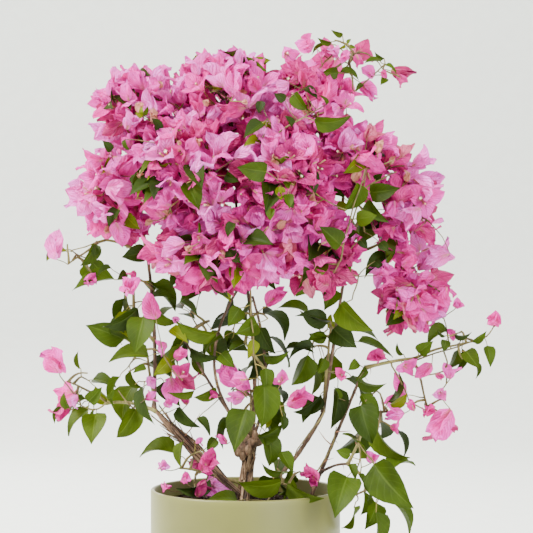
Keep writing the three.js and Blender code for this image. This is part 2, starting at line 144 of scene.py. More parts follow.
world = bpy.data.worlds.new("studio_air")
bpy.context.scene.world = world
world.use_nodes = True
world.node_tree.nodes["Background"].inputs["Color"].default_value = (0.96, 1.0, 0.97, 1)
world.node_tree.nodes["Background"].inputs["Strength"].default_value = 1.2

# The pot: a straight-walled cylinder of earthenware, thrown with a thin rounded rim and coated in a matt sage
# slip. Its top is painted paler along the lip, a painted highlight where the rim catches the light.
POT_RADIUS = 0.095
POT_HEIGHT = 0.175
POT_WALL = 0.004
POT_FLOOR = 0.007
POT_SIDES = 128
FOOT_BEVEL = 0.003
SAGE = (0.104, 0.102, 0.010)
SAGE_PALE = (0.145, 0.140, 0.022)
SAGE_DEEP = (0.085, 0.083, 0.006)


def choose_faces(piece, test):
    for part in (piece.data.vertices, piece.data.edges):
        part.foreach_set("select", [False] * len(part))
    for face in piece.data.polygons:
        face.select = test(face)
    bpy.ops.object.mode_set(mode="EDIT")
    bpy.ops.mesh.select_mode(type="FACE")


def choose_edges(piece, test):
    for part in (piece.data.vertices, piece.data.polygons):
        part.foreach_set("select", [False] * len(part))
    for edge in piece.data.edges:
        edge.select = test(*[piece.data.vertices[i].co for i in edge.vertices])
    bpy.ops.object.mode_set(mode="EDIT")
    bpy.ops.mesh.select_mode(type="EDGE")


def back_to_object():
    bpy.ops.object.mode_set(mode="OBJECT")


bpy.ops.object.select_all(action="DESELECT")
bpy.ops.mesh.primitive_cylinder_add(
    vertices=POT_SIDES, radius=POT_RADIUS, depth=POT_HEIGHT, location=(0, 0, POT_HEIGHT / 2))
pot = bpy.context.object
pot.name = "sage_pot"
bpy.ops.object.transform_apply(location=True)
choose_faces(pot, lambda face: face.normal.z > 0.9)
bpy.ops.mesh.inset(thickness=POT_WALL)
bpy.ops.mesh.extrude_region_move(TRANSFORM_OT_translate={"value": (0, 0, POT_FLOOR - POT_HEIGHT)})
back_to_object()
choose_edges(pot, lambda a, b: min(a.z, b.z) > POT_HEIGHT - 1e-4 and abs(a.xy.length - b.xy.length) < 1e-4)
bpy.ops.mesh.bevel(offset=POT_WALL * 0.46, segments=4)
back_to_object()
choose_edges(pot, lambda a, b: max(a.z, b.z) < 1e-4 and abs(a.xy.length - b.xy.length) < 1e-4)
bpy.ops.mesh.bevel(offset=FOOT_BEVEL, segments=3)
back_to_object()
bpy.ops.object.shade_smooth_by_angle(angle=math.radians(40))

sage, tree, shading = new_shader("matt_sage_slip")
broad = add_node(tree, "TexNoise", {"Vector": own_place(tree), "Scale": 9.0, "Detail": 3.0})
cloud = add_ramp(tree, broad.outputs["Fac"], [(0.32, SAGE_DEEP), (0.5, SAGE), (0.72, SAGE_PALE)])
height = add_node(tree, "SeparateXYZ", {0: own_place(tree)}).outputs["Z"]
# Painted highlight: the top 6 mm of the pot is mixed toward the paler slip, where the rim catches the light.
painted_lip_highlight = add_node(tree, "MapRange", {"Value": height, "From Min": POT_HEIGHT - 0.006, "From Max": POT_HEIGHT,
                                   "To Min": 0.0, "To Max": 0.55})
lip = add_node(tree, "Mix", {0: painted_lip_highlight.outputs[0], 6: cloud, 7: (*SAGE_PALE, 1)}, data_type="RGBA")
tree.links.new(lip.outputs[2], shading.inputs["Base Color"])
shading.inputs["Roughness"].default_value = 0.5
shading.inputs["Coat Weight"].default_value = 0.08
shading.inputs["Coat Roughness"].default_value = 0.4
shading.inputs["Sheen Weight"].default_value = 0.16
orange_peel = add_node(tree, "TexNoise", {"Vector": own_place(tree), "Scale": 260.0, "Detail": 3.0})
add_bump(tree, shading, orange_peel.outputs["Fac"], 0.12, 0.0006)
pot.data.materials.append(sage)
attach(pot, "root")
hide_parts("pot")

# The soil: dark peat with crumbs and a few pale grains, filled to a little below the rim and
# heaped slightly round the foot of the trunk.
SOIL_TOP = 0.160
SOIL_RADIUS = POT_RADIUS - POT_WALL - 0.0002
SOIL_RINGS = 17
LUMP_HEIGHT = 0.0022
HEAP_HEIGHT = 0.0035
HEAP_SPREAD = 0.03
PEAT = (0.010, 0.006, 0.005)
PEAT_DRY = (0.036, 0.021, 0.013)
GRIT = (0.26, 0.21, 0.15)

bpy.ops.object.select_all(action="DESELECT")
bpy.ops.mesh.primitive_cylinder_add(
    vertices=96, radius=SOIL_RADIUS, depth=SOIL_TOP - POT_FLOOR, location=(0, 0, (SOIL_TOP + POT_FLOOR) / 2))
soil = bpy.context.object
soil.name = "peat"
bpy.ops.object.transform_apply(location=True)
choose_faces(soil, lambda face: face.normal.z > 0.9)
for ring in range(SOIL_RINGS):
    bpy.ops.mesh.inset(thickness=SOIL_RADIUS / (SOIL_RINGS + 1))
bpy.ops.mesh.poke()
back_to_object()
for vertex in soil.data.vertices:
    away = vertex.co.xy.length
    if vertex.co.z > SOIL_TOP - 1e-4 and away < SOIL_RADIUS - 0.001:
        lumps = noise.fractal(vertex.co * 75, 0.7, 2.2, 4)
        vertex.co.z += LUMP_HEIGHT * lumps + HEAP_HEIGHT * math.exp(-(away / HEAP_SPREAD) ** 2)
bpy.ops.object.shade_smooth()


def earth_shader(name, dark, light, scale):
    material, tree, shading = new_shader(name)
    crumbs = add_node(tree, "TexNoise", {"Vector": own_place(tree), "Scale": scale, "Detail": 8.0,
                                         "Roughness": 0.7})
    tone = add_ramp(tree, crumbs.outputs["Fac"], [(0.35, dark), (0.68, light)])
    tree.links.new(tone, shading.inputs["Base Color"])
    shading.inputs["Roughness"].default_value = 0.95
    shading.inputs["Specular IOR Level"].default_value = 0.05
    add_bump(tree, shading, crumbs.outputs["Fac"], 0.9, 0.002)
    return material


soil.data.materials.append(earth_shader("peat_soil", PEAT, PEAT_DRY, 220.0))
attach(soil, "root")
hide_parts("soil")


MM = 0.001  # the mesh below is worked out in millimetres


class Heap:
    """Points and faces of many small shapes that become one joined mesh, three numbers kept per point."""

    def __init__(self):
        self.points, self.marks, self.loops, self.totals, self.count = [], [], [], [], 0

    def lay(self, points, faces, marks=None):
        points = np.asarray(points, float)
        loops, totals = faces
        self.points.append(points)
        self.marks.append(np.zeros_like(points) if marks is None else marks)
        self.loops.append(loops + self.count)
        self.totals.append(totals)
        self.count += len(points)

    def join(self, name, material, slot, nodes, smooth=True):
        points, loops = np.concatenate(self.points) * MM, np.concatenate(self.loops)
        totals = np.concatenate(self.totals)
        mesh = bpy.data.meshes.new(name)
        mesh.vertices.add(len(points))
        mesh.vertices.foreach_set("co", points.ravel())
        mesh.loops.add(len(loops))
        mesh.loops.foreach_set("vertex_index", loops)
        mesh.polygons.add(len(totals))
        mesh.polygons.foreach_set("loop_start", np.concatenate([[0], np.cumsum(totals)[:-1]]))
        mesh.polygons.foreach_set("use_smooth", np.full(len(totals), smooth))
        mesh.update(calc_edges=True)
        marks = mesh.attributes.new("blade", "FLOAT_VECTOR", "POINT")
        marks.data.foreach_set("vector", np.concatenate(self.marks).ravel())
        mesh.materials.append(material)
        piece = bpy.data.objects.new(name, mesh)
        bpy.context.scene.collection.objects.link(piece)
        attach(piece, "root")
        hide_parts(*nodes)
        return piece


def faces_of(rows):
    return np.concatenate([np.array(row) for row in rows]), np.array([len(row) for row in rows])


def grid_faces(rows, columns):
    return faces_of([(r * columns + c, r * columns + c + 1, (r + 1) * columns + c + 1, (r + 1) * columns + c)
                     for r in range(rows - 1) for c in range(columns - 1)])


CRUMBS = 620
GRIT_SHARE = 0.04
crumb_dice = random.Random(5)
crumb_heaps = {"peat_crumbs": Heap(), "grit": Heap()}
CRUMB = np.array([(1, 0, 0), (0.3, 0.9, 0.1), (-0.8, 0.5, -0.1), (-0.7, -0.6, 0.1), (0.4, -0.8, 0),
                  (0, 0, 0.8), (0, 0, -0.7)])
CRUMB_FACES = faces_of([(k, (k + 1) % 5, 5) for k in range(5)] + [((k + 1) % 5, k, 6) for k in range(5)])
for crumb in range(CRUMBS):
    away = 1000 * (SOIL_RADIUS - 0.004) * math.sqrt(crumb_dice.random())
    turn = 2 * math.pi * crumb_dice.random()
    x, y = away * math.cos(turn), away * math.sin(turn)
    lumps = noise.fractal(Vector((x, y, 160)) * 0.075, 0.7, 2.2, 4)
    height = 1000 * (SOIL_TOP + LUMP_HEIGHT * lumps
                     + HEAP_HEIGHT * math.exp(-(away / (1000 * HEAP_SPREAD)) ** 2))
    size = crumb_dice.uniform(0.8, 2.6)
    jag = np.array([[crumb_dice.uniform(0.6, 1.3) for _ in range(3)] for _ in CRUMB])
    heap = crumb_heaps["grit" if crumb_dice.random() < GRIT_SHARE else "peat_crumbs"]
    heap.lay(CRUMB * jag * size + (x, y, height + 0.2 * size), CRUMB_FACES)
crumb_heaps["peat_crumbs"].join("peat_crumbs", earth_shader("peat_crumb", PEAT, PEAT_DRY, 500.0), "soil",
                                ["soil"], smooth=False)
crumb_heaps["grit"].join("grit", earth_shader("pale_grit", GRIT, [1.3 * c for c in GRIT], 700.0), "soil",
                         ["soil"], smooth=False)

# The trunk and boughs: old wood in several fused strands, its bark split lengthwise and flaking, with a
# knobbly head where it was cut back. Canes and risers leave it and arch up; younger shoots are smoother and
# greener.
TRUNK_FOOT = (1, 0, 156)
TRUNK_HEAD = (7, 0, 224)
TRUNK_BOW = (-3, 2, 0)
TRUNK_THICK = (8.5, 6.2)
TRUNK_FLARE = 4.5
SOIL_START = 156
YOUNG = 2.0
# Each bough: parent, share of the parent where it leaves, tip, how far its middle stands off the straight
# line, and its radii at foot and tip.
BOUGHS = {
    "bough_left_cane": ("trunk", 0.14, (-92, 0, 255), (2, -6, -5), (4.4, 3.2)),
    "bough_left_riser": ("bough_left_cane", 1, (-100, 8, 416), (4, -2, 0), (2.9, 2.1)),
    "bough_left_shoot": ("bough_left_cane", 0.97, (-138, -6, 261), (0, -2, 4), (1.9, 1.4)),
    "bough_middle_left": ("trunk", 1, (-8, -12, 374), (-30, -8, -5), (2.3, 1.7)),
    "bough_middle_right": ("trunk", 1, (7, -10, 368), (13, -12, -5), (2.4, 1.7)),
    "bough_middle_riser": ("trunk", 0.97, (-2, 18, 396), (6, 12, 0), (3.3, 2.4)),
    "bough_inner_left": ("trunk", 0.93, (-62, -4, 326), (-2, -8, 0), (2.4, 1.6)),
    "bough_right_cane": ("trunk", 0.1, (78, 2, 251), (4, 6, -10), (3.8, 2.8)),
    "bough_right_riser": ("bough_right_cane", 1, (104, 4, 416), (0, 2, 0), (2.7, 2.0)),
    "bough_right_shoot": ("soil", (62, 6), (119, -6, 296), (0, 5, 0), (3.0, 2.0)),
    "bough_right_far": ("bough_right_shoot", 1, (168, -10, 306), (0, 0, 1), (1.9, 1.5)),
    "bough_low_right": ("bough_right_shoot", 0.24, (101, -32, 203), (0, -4, 3), (2.2, 1.7)),
    "bough_low_right_riser": ("bough_low_right", 1, (119, -16, 250), (3, -2, 0), (1.6, 1.2)),
    "bough_left_outer": ("bough_left_riser", 0.93, (-140, -6, 424), (0, 0, 4), (1.8, 1.3)),
    "bough_left_inner": ("bough_left_riser", 0.42, (-112, -10, 352), (-2, -3, 0), (1.7, 1.3)),
    "bough_middle_inner": ("bough_middle_right", 0.5, (0, -24, 322), (0, -3, 0), (1.6, 1.2)),
    "bough_crown_left": ("bough_left_riser", 1, (-102, 2, 484), (-4, 4, 0), (2.0, 1.6)),
    "bough_crown_centre": ("bough_middle_riser", 1, (-8, 2, 502), (-4, 8, 0), (2.3, 1.8)),
    "bough_crown_right": ("bough_right_riser", 1, (100, 0, 480), (-4, 6, 0), (1.9, 1.5)),
    "bough_crown_outer": ("bough_right_riser", 0.97, (150, -2, 432), (2, 0, -4), (1.7, 1.4)),
    "bough_crown_branch": ("bough_crown_centre", 1, (74, -26, 552), (2, -12, -6), (1.7, 1.4)),
    "bough_top_sprig": ("bough_crown_branch", 1, (80, -10, 588), (-3, 0, 0), (1.4, 1.1)),
}
BARK_DARK = (0.030, 0.016, 0.009)
BARK = (0.165, 0.094, 0.048)
BARK_PALE = (0.50, 0.34, 0.20)
CANE_DARK = (0.028, 0.015, 0.010)
CANE_BROWN = (0.066, 0.034, 0.019)
CANE_PALE = (0.22, 0.128, 0.072)


def unit(vector):
    return np.asarray(vector, float) / np.linalg.norm(vector)


def bowed(start, end, bow, steps=48):
    start, end, bow = (np.array(point, float) for point in (start, end, bow))
    middle = (start + end) / 2 + 2 * bow
    t = np.linspace(0, 1, steps + 1)[:, None]
    return (1 - t) ** 2 * start + 2 * t * (1 - t) * middle + t ** 2 * end


def gone_along(curve):
    return np.concatenate([[0], np.cumsum(np.linalg.norm(np.diff(curve, axis=0), axis=1))])


def point_at(curve, share):
    gone = gone_along(curve)
    return np.stack([np.interp(np.asarray(share) * gone[-1], gone, curve[:, k]) for k in range(3)], axis=-1)


def tangent_at(curve, share):
    return unit(point_at(curve, min(1, share + 0.02)) - point_at(curve, max(0, share - 0.02)))


def rings_along(points):
    """Two cross directions at each point of a line, carried along without twist."""
    ahead = np.gradient(points, axis=0)
    ahead /= np.linalg.norm(ahead, axis=1)[:, None]
    side = unit(np.cross(ahead[0], (0.31, 0.82, 0.47)))
    sides = []
    for direction in ahead:
        side = unit(side - direction * side.dot(direction))
        sides.append(side)
    sides = np.array(sides)
    return sides, np.cross(ahead, sides)


def tube_faces(rings, sides):
    rows = [(r * sides + s, r * sides + (s + 1) % sides,
             (r + 1) * sides + (s + 1) % sides, (r + 1) * sides + s)
            for r in range(rings - 1) for s in range(sides)]
    last = (rings - 1) * sides
    return faces_of(rows + [tuple(range(sides))[::-1], tuple(last + s for s in range(sides))])


TUBES = {}


def lay_tube(heap, points, radii, sides, mark=0.0):
    """A closed tube along points. radii is one radius per ring, or one per ring and side."""
    rings = len(points)
    if (rings, sides) not in TUBES:
        TUBES[rings, sides] = tube_faces(rings, sides)
    across, over = rings_along(points)
    turns = 2 * np.pi * np.arange(sides) / sides
    radii = np.broadcast_to(np.asarray(radii, float).reshape(rings, -1), (rings, sides))
    ring = (np.cos(turns)[None, :, None] * across[:, None] + np.sin(turns)[None, :, None] * over[:, None])
    marks = np.zeros((rings, sides, 3))
    marks[..., 0] = np.cos(turns)[None]
    marks[..., 1] = gone_along(points)[:, None]
    marks[..., 2] = mark
    heap.lay((points[:, None] + radii[..., None] * ring).reshape(-1, 3), TUBES[rings, sides],
             marks.reshape(-1, 3))


def barked(points, radii, sides, depth, seed):
    """Radii with the bark's relief: long splits that follow the limb, knots, and a rough skin."""
    gone = gone_along(points)
    turns = 2 * np.pi * np.arange(sides) / sides
    relief = np.empty((len(points), sides))
    for r, (along, radius) in enumerate(zip(gone, radii)):
        for s, turn in enumerate(turns + 0.012 * along):
            place = Vector((math.cos(turn) * 2.2, math.sin(turn) * 2.2, along * 0.045 + seed))
            fine = Vector((math.cos(turn) * 5, math.sin(turn) * 5, along * 0.16 + seed))
            split = 1 - abs(noise.noise(place * 1.1))  # high along thin lines
            relief[r, s] = (0.55 * noise.noise(place * 0.6) + 0.5 * noise.noise(fine)
                            - 1.3 * max(0.0, split - 0.82) / 0.18)
        relief[r] *= depth * radius
    return np.asarray(radii)[:, None] + relief


def taper(curve, thick, step, flare=0.0):
    """Points evenly along a curve, with the limb's radius at each."""
    rings = max(4, round(gone_along(curve)[-1] / step))
    share = np.linspace(0, 1, rings + 1)
    radii = thick[0] + (thick[1] - thick[0]) * share + flare * np.exp(-9 * share)
    return point_at(curve, share), radii


def line_beside(curve, share, off, turn):
    """A line along a curve that stands off it and winds round it."""
    middle = point_at(curve, share)
    across, over = rings_along(middle)
    return middle + off[:, None] * (np.cos(turn)[:, None] * across + np.sin(turn)[:, None] * over)


limbs = {"trunk": bowed(TRUNK_FOOT, TRUNK_HEAD, TRUNK_BOW)}
for name, (parent, place, tip, bow, thick) in BOUGHS.items():
    foot = (*place, SOIL_START) if parent == "soil" else point_at(limbs[parent], place)
    limbs[name] = bowed(foot, tip, bow)

# How much of its full radius a core keeps where strands and flakes lie round it.
TRUNK_CORE = 0.68
STRANDED_CORE = 0.45
CANE_CORE = 0.74
STRANDS = 9
FLAKES = 26
LOOSE_STRANDS = 44
trunk_wood, cane_wood, young_wood, thorns = Heap(), Heap(), Heap(), Heap()
points, radii = taper(limbs["trunk"], TRUNK_THICK, 1.5, 0.5 * TRUNK_FLARE)
lay_tube(trunk_wood, points, barked(points, radii * TRUNK_CORE, 40, 0.34, 3.0), 40, -1.5)
for strand in range(STRANDS):
    share = np.linspace(0, 1, 40)
    turn = 2 * np.pi * strand / STRANDS + 1.3 * share + 0.5 * math.sin(strand)
    off = 0.62 * (TRUNK_THICK[0] + (TRUNK_THICK[1] - TRUNK_THICK[0]) * share) + 1.6 * np.exp(-9 * share)
    line = line_beside(limbs["trunk"], share, off, turn)
    thick = 1.9 + 0.6 * np.sin(7 * share + strand) + 0.5 * math.cos(2.3 * strand)
    lay_tube(trunk_wood, line, barked(line, thick, 14, 0.42, 20.0 + strand), 14, 2.2 * math.sin(2.1 * strand))
# The knobs of its head: middle, radius and half height.
KNOBS = [((7, -3, 221), 7.5, 5.5), ((1, -2, 224), 5.2, 6), ((13, 1, 223), 5.6, 6.5), ((6, 5, 220), 6, 6),
         ((10, -6, 228), 3.6, 6), ((2, 3, 229), 3.2, 7), ((-2, -4, 216), 5.6, 6), ((-7, -5, 212), 4.6, 5.5),
         ((-3, -7, 208), 3.4, 5), ((3, -8, 214), 3.8, 6)]
for knob, (centre, radius, height) in enumerate(KNOBS):
    share = np.linspace(-0.98, 0.98, 12)
    line = np.array(centre) + np.outer(share * height, unit((0.2 * math.sin(knob), 0.2 * math.cos(knob), 1)))
    lay_tube(trunk_wood, line, barked(line, radius * np.sqrt(1 - share ** 2), 20, 0.2, 50.0 + knob), 20, 0.6)

# Loose flakes of bark stand off the trunk and its head.
wood_dice = random.Random(17)
for flake in range(FLAKES):
    first = wood_dice.uniform(0.25, 0.9)
    share = np.linspace(first, min(1.0, first + wood_dice.uniform(0.15, 0.35)), 10)
    turn = wood_dice.uniform(0, 2 * math.pi) + wood_dice.uniform(-1.5, 1.5) * (share - first)
    lift = 5.4 + (1.0 + 3.5 * wood_dice.random()) * ((share - first) / 0.3) ** 2
    line = line_beside(limbs["trunk"], share, lift, turn)
    thick = wood_dice.uniform(0.7, 1.7) * np.linspace(1, 0.35, 10)
    lay_tube(trunk_wood, line, barked(line, thick, 8, 0.3, 160.0 + flake), 8, wood_dice.uniform(-1.0, 2.6))

for index, (name, (parent, place, tip, bow, thick)) in enumerate(BOUGHS.items()):
    young = thick[0] <= YOUNG
    points, radii = taper(limbs[name], thick, 3.0 if young else 2.0)
    if name == "bough_left_cane":
        radii = STRANDED_CORE * radii
    elif not young:
        radii = CANE_CORE * radii
    if parent != "soil":
        radii[:4] *= np.array([1.5, 1.3, 1.15, 1.05])[:len(radii[:4])]
    lay_tube(young_wood if young else cane_wood, points,
             barked(points, radii, 10 if young else 16, 0.1 if young else 0.22, 80.0 + index),
             10 if young else 16, (index * 0.37) % 1)
# The left cane is a bundle of strands. The first six run all along it.
for strand in range(LOOSE_STRANDS):
    first, last = 0.0, 1.0
    if strand >= 6:
        first, last = sorted((wood_dice.uniform(0.1, 0.6), wood_dice.uniform(0.65, 1.0)))
    share = np.linspace(first, last, 50)
    turn = 2 * np.pi * strand / 6 + (0.8 + 0.5 * math.sin(3 * strand)) * share
    off = 1.5 + 6.3 * np.sin(np.pi * share ** 1.2) ** 0.8 * (0.25 + 0.75 * (strand % 5) / 4) * (
        0.65 + 0.35 * np.sin(9 * share + strand))
    off += (strand % 3 == 0) * 5.0 * np.maximum(0, (share - first) / (last - first) - 0.75) / 0.25
    line = line_beside(limbs["bough_left_cane"], share, off, turn)
    radius = wood_dice.uniform(0.4, 1.05) * (1 - 0.5 * np.abs(2 * (share - first) / (last - first) - 1) ** 4)
    lay_tube(cane_wood, line, barked(line, radius, 8, 0.25, 120.0 + strand), 8, wood_dice.uniform(-2.0, 4.5))
for name, (parent, place, tip, bow, thick) in BOUGHS.items():
    if "crown" in name:
        continue
    for share in np.arange(0.12, 0.95, 18 / gone_along(limbs[name])[-1]):
        if wood_dice.random() < 0.55:
            continue
        root, ahead = point_at(limbs[name], share), tangent_at(limbs[name], share)
        side = unit(np.cross(ahead, [wood_dice.uniform(-1, 1) for _ in range(3)]))
        length = wood_dice.uniform(6, 11)
        out = np.outer((0, 0.35, 0.7, 1.0), side * length)
        line = root + out - np.outer((0, 0.02, 0.1, 0.24), ahead * length)
        lay_tube(thorns, line, np.array([0.75, 0.42, 0.24, 0.06]), 6, wood_dice.random())


def bark_shader(name, dark, middle, pale, fine):
    material, tree, shading = new_shader(name)
    blade = add_node(tree, "Attribute", attribute_name="blade").outputs["Vector"]
    parts = add_node(tree, "SeparateXYZ", {0: blade})
    long_grain = add_node(tree, "TexNoise", {"Vector": own_place(tree, (1, 1, 0.28)), "Scale": fine,
                                             "Detail": 8.0, "Roughness": 0.65})
    patches = add_node(tree, "TexNoise", {"Vector": own_place(tree), "Scale": 60.0, "Detail": 3.0})
    both = add_node(tree, "Math", {0: long_grain.outputs["Fac"], 1: patches.outputs["Fac"]}, operation="ADD")
    shift = add_node(tree, "Math", {0: parts.outputs["Z"], 1: 0.12, 2: both.outputs[0]},
                     operation="MULTIPLY_ADD")
    half = add_node(tree, "Math", {0: shift.outputs[0], 1: 0.5}, operation="MULTIPLY")
    tone = add_ramp(tree, half.outputs[0], [(0.38, dark), (0.53, middle), (0.68, pale)])
    tree.links.new(tone, shading.inputs["Base Color"])
    shading.inputs["Roughness"].default_value = 0.85
    add_bump(tree, shading, long_grain.outputs["Fac"], 0.7, 0.0012)
    return material


stout = ["trunk"] + [name for name, row in BOUGHS.items() if row[4][0] > YOUNG]
slender = [name for name, row in BOUGHS.items() if row[4][0] <= YOUNG]
trunk_bark = bark_shader("flaking_bark", BARK_DARK, BARK, BARK_PALE, 420.0)
trunk_wood.join("trunk_wood", trunk_bark, "bark", ["trunk"])
cane_bark = bark_shader("cane_bark", CANE_DARK, CANE_BROWN, CANE_PALE, 450.0)
cane_wood.join("cane_wood", cane_bark, "bark", stout[1:])
thorn_skin = bark_shader("thorn_skin", (0.14, 0.05, 0.028), (0.24, 0.10, 0.05), (0.36, 0.20, 0.11), 600.0)
thorns.join("thorns", thorn_skin, "bark", stout[1:])
GREEN_BARK_DARK = (0.085, 0.062, 0.018)
GREEN_BARK = (0.16, 0.14, 0.038)
GREEN_BARK_PALE = (0.27, 0.25, 0.08)
young_bark = bark_shader("young_bark", GREEN_BARK_DARK, GREEN_BARK, GREEN_BARK_PALE, 500.0)
young_wood.join("young_wood", young_bark, "shoot", slender)

# The foliage's growth: each mass keeps to an ellipsoid and to its own side of its neighbours. A stem runs
# from its bough into the middle, side branches part from it, and twigs go on from the nearest joint to the
# skin. They end in clusters of flowers in the crown, and carry leaves alternately below it.
CROWN_HEART = np.array((5.0, 0.0, 470.0))
SKIN_SLACK = 9
SPACE_MARGIN = 0.6
STEM_THICK = (1.9, 1.1)
BRANCH_THICK = (1.5, 0.8)
TWIG_THICK = (0.9, 0.5)
SHOOT_THICK = (1.0, 0.6)
STALK_THICK = (0.6, 0.42)
THREAD_THICK = (0.62, 0.45)
STEM_JOINTS = np.linspace(0.15, 1, 9)
BRANCH_JOINTS = np.linspace(0.25, 1, 6)
GOLDEN_TURN = math.pi * (3 - math.sqrt(5))
# Each mass: its bough, centre, reach, and how many flowers, leaves and side branches the solids of it hold.
MASSES = {
    "crown_left": ("bough_crown_left", (-132, -2, 468), (48, 66, 56), 23, 1, 3),
    "crown_left_top": ("bough_crown_left", (-106, 2, 553), (54, 66, 50), 25, 0, 3),
    "crown_left_front": ("bough_crown_left", (-58, -52, 490), (58, 54, 64), 23, 1, 3),
    "crown_left_back": ("bough_crown_left", (-58, 54, 488), (60, 54, 64), 23, 2, 3),
    "crown_top": ("bough_crown_centre", (-19, 2, 567), (61, 84, 49), 28, 0, 3),
    "crown_top_right": ("bough_crown_branch", (68, 2, 560), (60, 76, 50), 27, 1, 3),
    "crown_middle_front": ("bough_crown_centre", (34, -54, 486), (58, 52, 62), 23, 1, 3),
    "crown_middle_back": ("bough_crown_centre", (34, 54, 488), (62, 52, 64), 23, 2, 3),
    "crown_right_shoulder": ("bough_crown_right", (113, -2, 501), (53, 68, 54), 25, 1, 3),
    "crown_right": ("bough_crown_outer", (160, -2, 449), (43, 56, 63), 21, 1, 3),
    "crown_low_front": ("bough_middle_left", (-20, -46, 416), (82, 50, 50), 25, 1, 3),
    "crown_low_back": ("bough_middle_riser", (-20, 48, 420), (80, 46, 46), 21, 3, 3),
    "crown_low_right": ("bough_right_riser", (76, -30, 416), (42, 52, 50), 15, 1, 3),
    "crown_right_hanging": ("bough_crown_outer", (165, -8, 373), (51, 42, 48), 17, 0, 3),
    "sprig_top": ("bough_top_sprig", (98, -12, 604), (64, 30, 32), 5, 8, 2),
    "sprig_left_outer": ("bough_left_outer", (-166, -8, 406), (40, 26, 32), 2, 6, 2),
    "shoots_left_upper": ("bough_left_inner", (-112, -14, 376), (36, 36, 36), 2, 8, 2),
    "shoots_left_lower": ("bough_left_cane", (-98, -6, 300), (42, 40, 48), 4, 12, 2),
    "spray_left": ("bough_left_shoot", (-164, -10, 276), (47, 28, 40), 2, 10, 2),
    "shoots_inner_left": ("bough_inner_left", (-46, -4, 336), (34, 36, 40), 1, 12, 2),
    "shoots_middle_upper": ("bough_middle_inner", (4, -12, 340), (32, 36, 36), 1, 12, 2),
    "shoots_middle_lower": ("trunk", (6, -22, 262), (42, 38, 46), 3, 14, 2),
    "shoots_low_left": ("trunk", (-50, -8, 193), (48, 44, 32), 4, 6, 2),
    "shoots_low_middle": ("trunk", (34, -42, 184), (46, 50, 24), 1, 12, 2),
    "shoots_right_upper": ("bough_right_riser", (116, -14, 446), (32, 40, 48), 1, 10, 2),
    "shoots_right_middle": ("bough_right_cane", (84, -4, 318), (40, 38, 62), 1, 18, 2),
    "spray_right": ("bough_right_far", (214, -14, 320), (47, 24, 32), 1, 10, 2),
    "spray_right_hanging": ("bough_right_far", (180, -12, 262), (38, 26, 38), 5, 0, 2),
    "shoots_right_inner": ("bough_low_right_riser", (132, -20, 252), (28, 26, 36), 0, 10, 2),
    "shoots_low_right": ("bough_low_right", (122, -52, 182), (46, 30, 40), 1, 12, 2),
}
CENTRES = {name: np.array(row[1], float) for name, row in MASSES.items()}
REACHES = {name: np.array(row[2], float) for name, row in MASSES.items()}
PLANES = {}
for name in MASSES:
    aparts, shares = [], []
    for other in MASSES:
        if other != name:
            apart = CENTRES[other] - CENTRES[name]
            own, theirs = (np.linalg.norm(unit(apart) * REACHES[each]) for each in (name, other))
            aparts.append(unit(apart))
            shares.append(np.linalg.norm(apart) * own / (own + theirs) - SPACE_MARGIN)
    PLANES[name] = np.array(aparts), np.array(shares)


def free_reach(name, heading, inside_skin=-SKIN_SLACK, off_planes=0.0):
    """How far the mass's space goes along a heading, and whether a neighbour ends it."""
    to_skin = 1 / np.linalg.norm(heading / REACHES[name]) - inside_skin
    aparts, shares = PLANES[name]
    toward = aparts @ heading
    ahead = toward > 1e-6
    to_plane = ((shares[ahead] - off_planes) / toward[ahead]).min() if ahead.any() else np.inf
    return min(to_skin, to_plane), to_plane < to_skin


def in_space(name, point):
    offset = point - CENTRES[name]
    distance = np.linalg.norm(offset)
    return distance < 1 or distance < free_reach(name, offset / distance)[0]


def in_pot(point):
    """In the pot's wall, in the soil or under them."""
    away = math.hypot(point[0], point[1])
    return point[2] < (178 if 87 < away < 99 else 163 if away < 99 else 2)


def turned(vector, axis, angle):
    return (vector * math.cos(angle) + np.cross(axis, vector) * math.sin(angle)
            + axis * axis.dot(vector) * (1 - math.cos(angle)))


def scatter(dice, size):
    return size * np.array([dice.uniform(-1, 1) for _ in range(3)])


blooms, leaf_sites, twigs, threads = [], [], [], []
bloom_hearts = []
DOWN = np.array((0.0, 0.0, -1.0))
BLOOM_SPACING = 13.6


def crowded(point, spacing):
    if not bloom_hearts:
        return False
    return ((np.array(bloom_hearts) - point) ** 2).sum(axis=1).min() < spacing ** 2


def grow_cluster(dice, name, node, facing, count):
    """Flowers on short stalks from the end of a twig."""
    side = unit(np.cross(facing, (0.2, 0.35, 0.9)))
    start_turn = dice.uniform(0, 2 * math.pi)
    grown = 0
    for k in range(count):
        tilt = dice.uniform(0.0, 0.35) if k == 0 else dice.uniform(0.6, 1.1)
        turn = start_turn + 2 * math.pi * k / max(1, count - 1) + dice.uniform(-0.4, 0.4)
        around = turned(side, facing, turn)
        axis = unit(facing * math.cos(tilt) + around * math.sin(tilt))
        scale = dice.uniform(0.82, 1.08)
        foot = node + axis * dice.uniform(5, 12) + around * (0 if k == 0 else dice.uniform(3, 8))
        heart = foot + axis * 12 * scale
        if crowded(heart, BLOOM_SPACING) or in_pot(foot) or not in_space(name, foot + axis * 19 * scale):
            continue
        bloom_hearts.append(heart)
        blooms.append((foot, axis, dice.uniform(0, 2 * math.pi), scale, dice.random(), None, name))
        threads.append((node, foot - axis * 0.5, scatter(dice, 1.2)))
        grown += 1
    return grown


LEAF_WIDTH = 0.70
# How wide the crown's flowers stand, as rows of height, left and right, so that it is
# domed and steps in over its right shoulder.
CROWN_EDGE = np.array([
    (380, -62, 205), (404, -92, 196), (424, -128, 190), (444, -160, 190), (464, -176, 190), (485, -170, 203),
    (505, -162, 192), (525, -146, 138), (545, -148, 100), (565, -157, 110), (585, -138, 118), (605, -72, 60),
    (618, -46, 30)], float)
# Where the crown's front opens on its dark inside: across, height and radius.
HOLLOWS = [(-56, 513, 17), (-61, 492, 12), (-14, 486, 16), (-103, 480, 16), (-84, 462, 10),
           (28, 519, 9), (82, 470, 12), (-128, 505, 9), (20, 452, 9)]
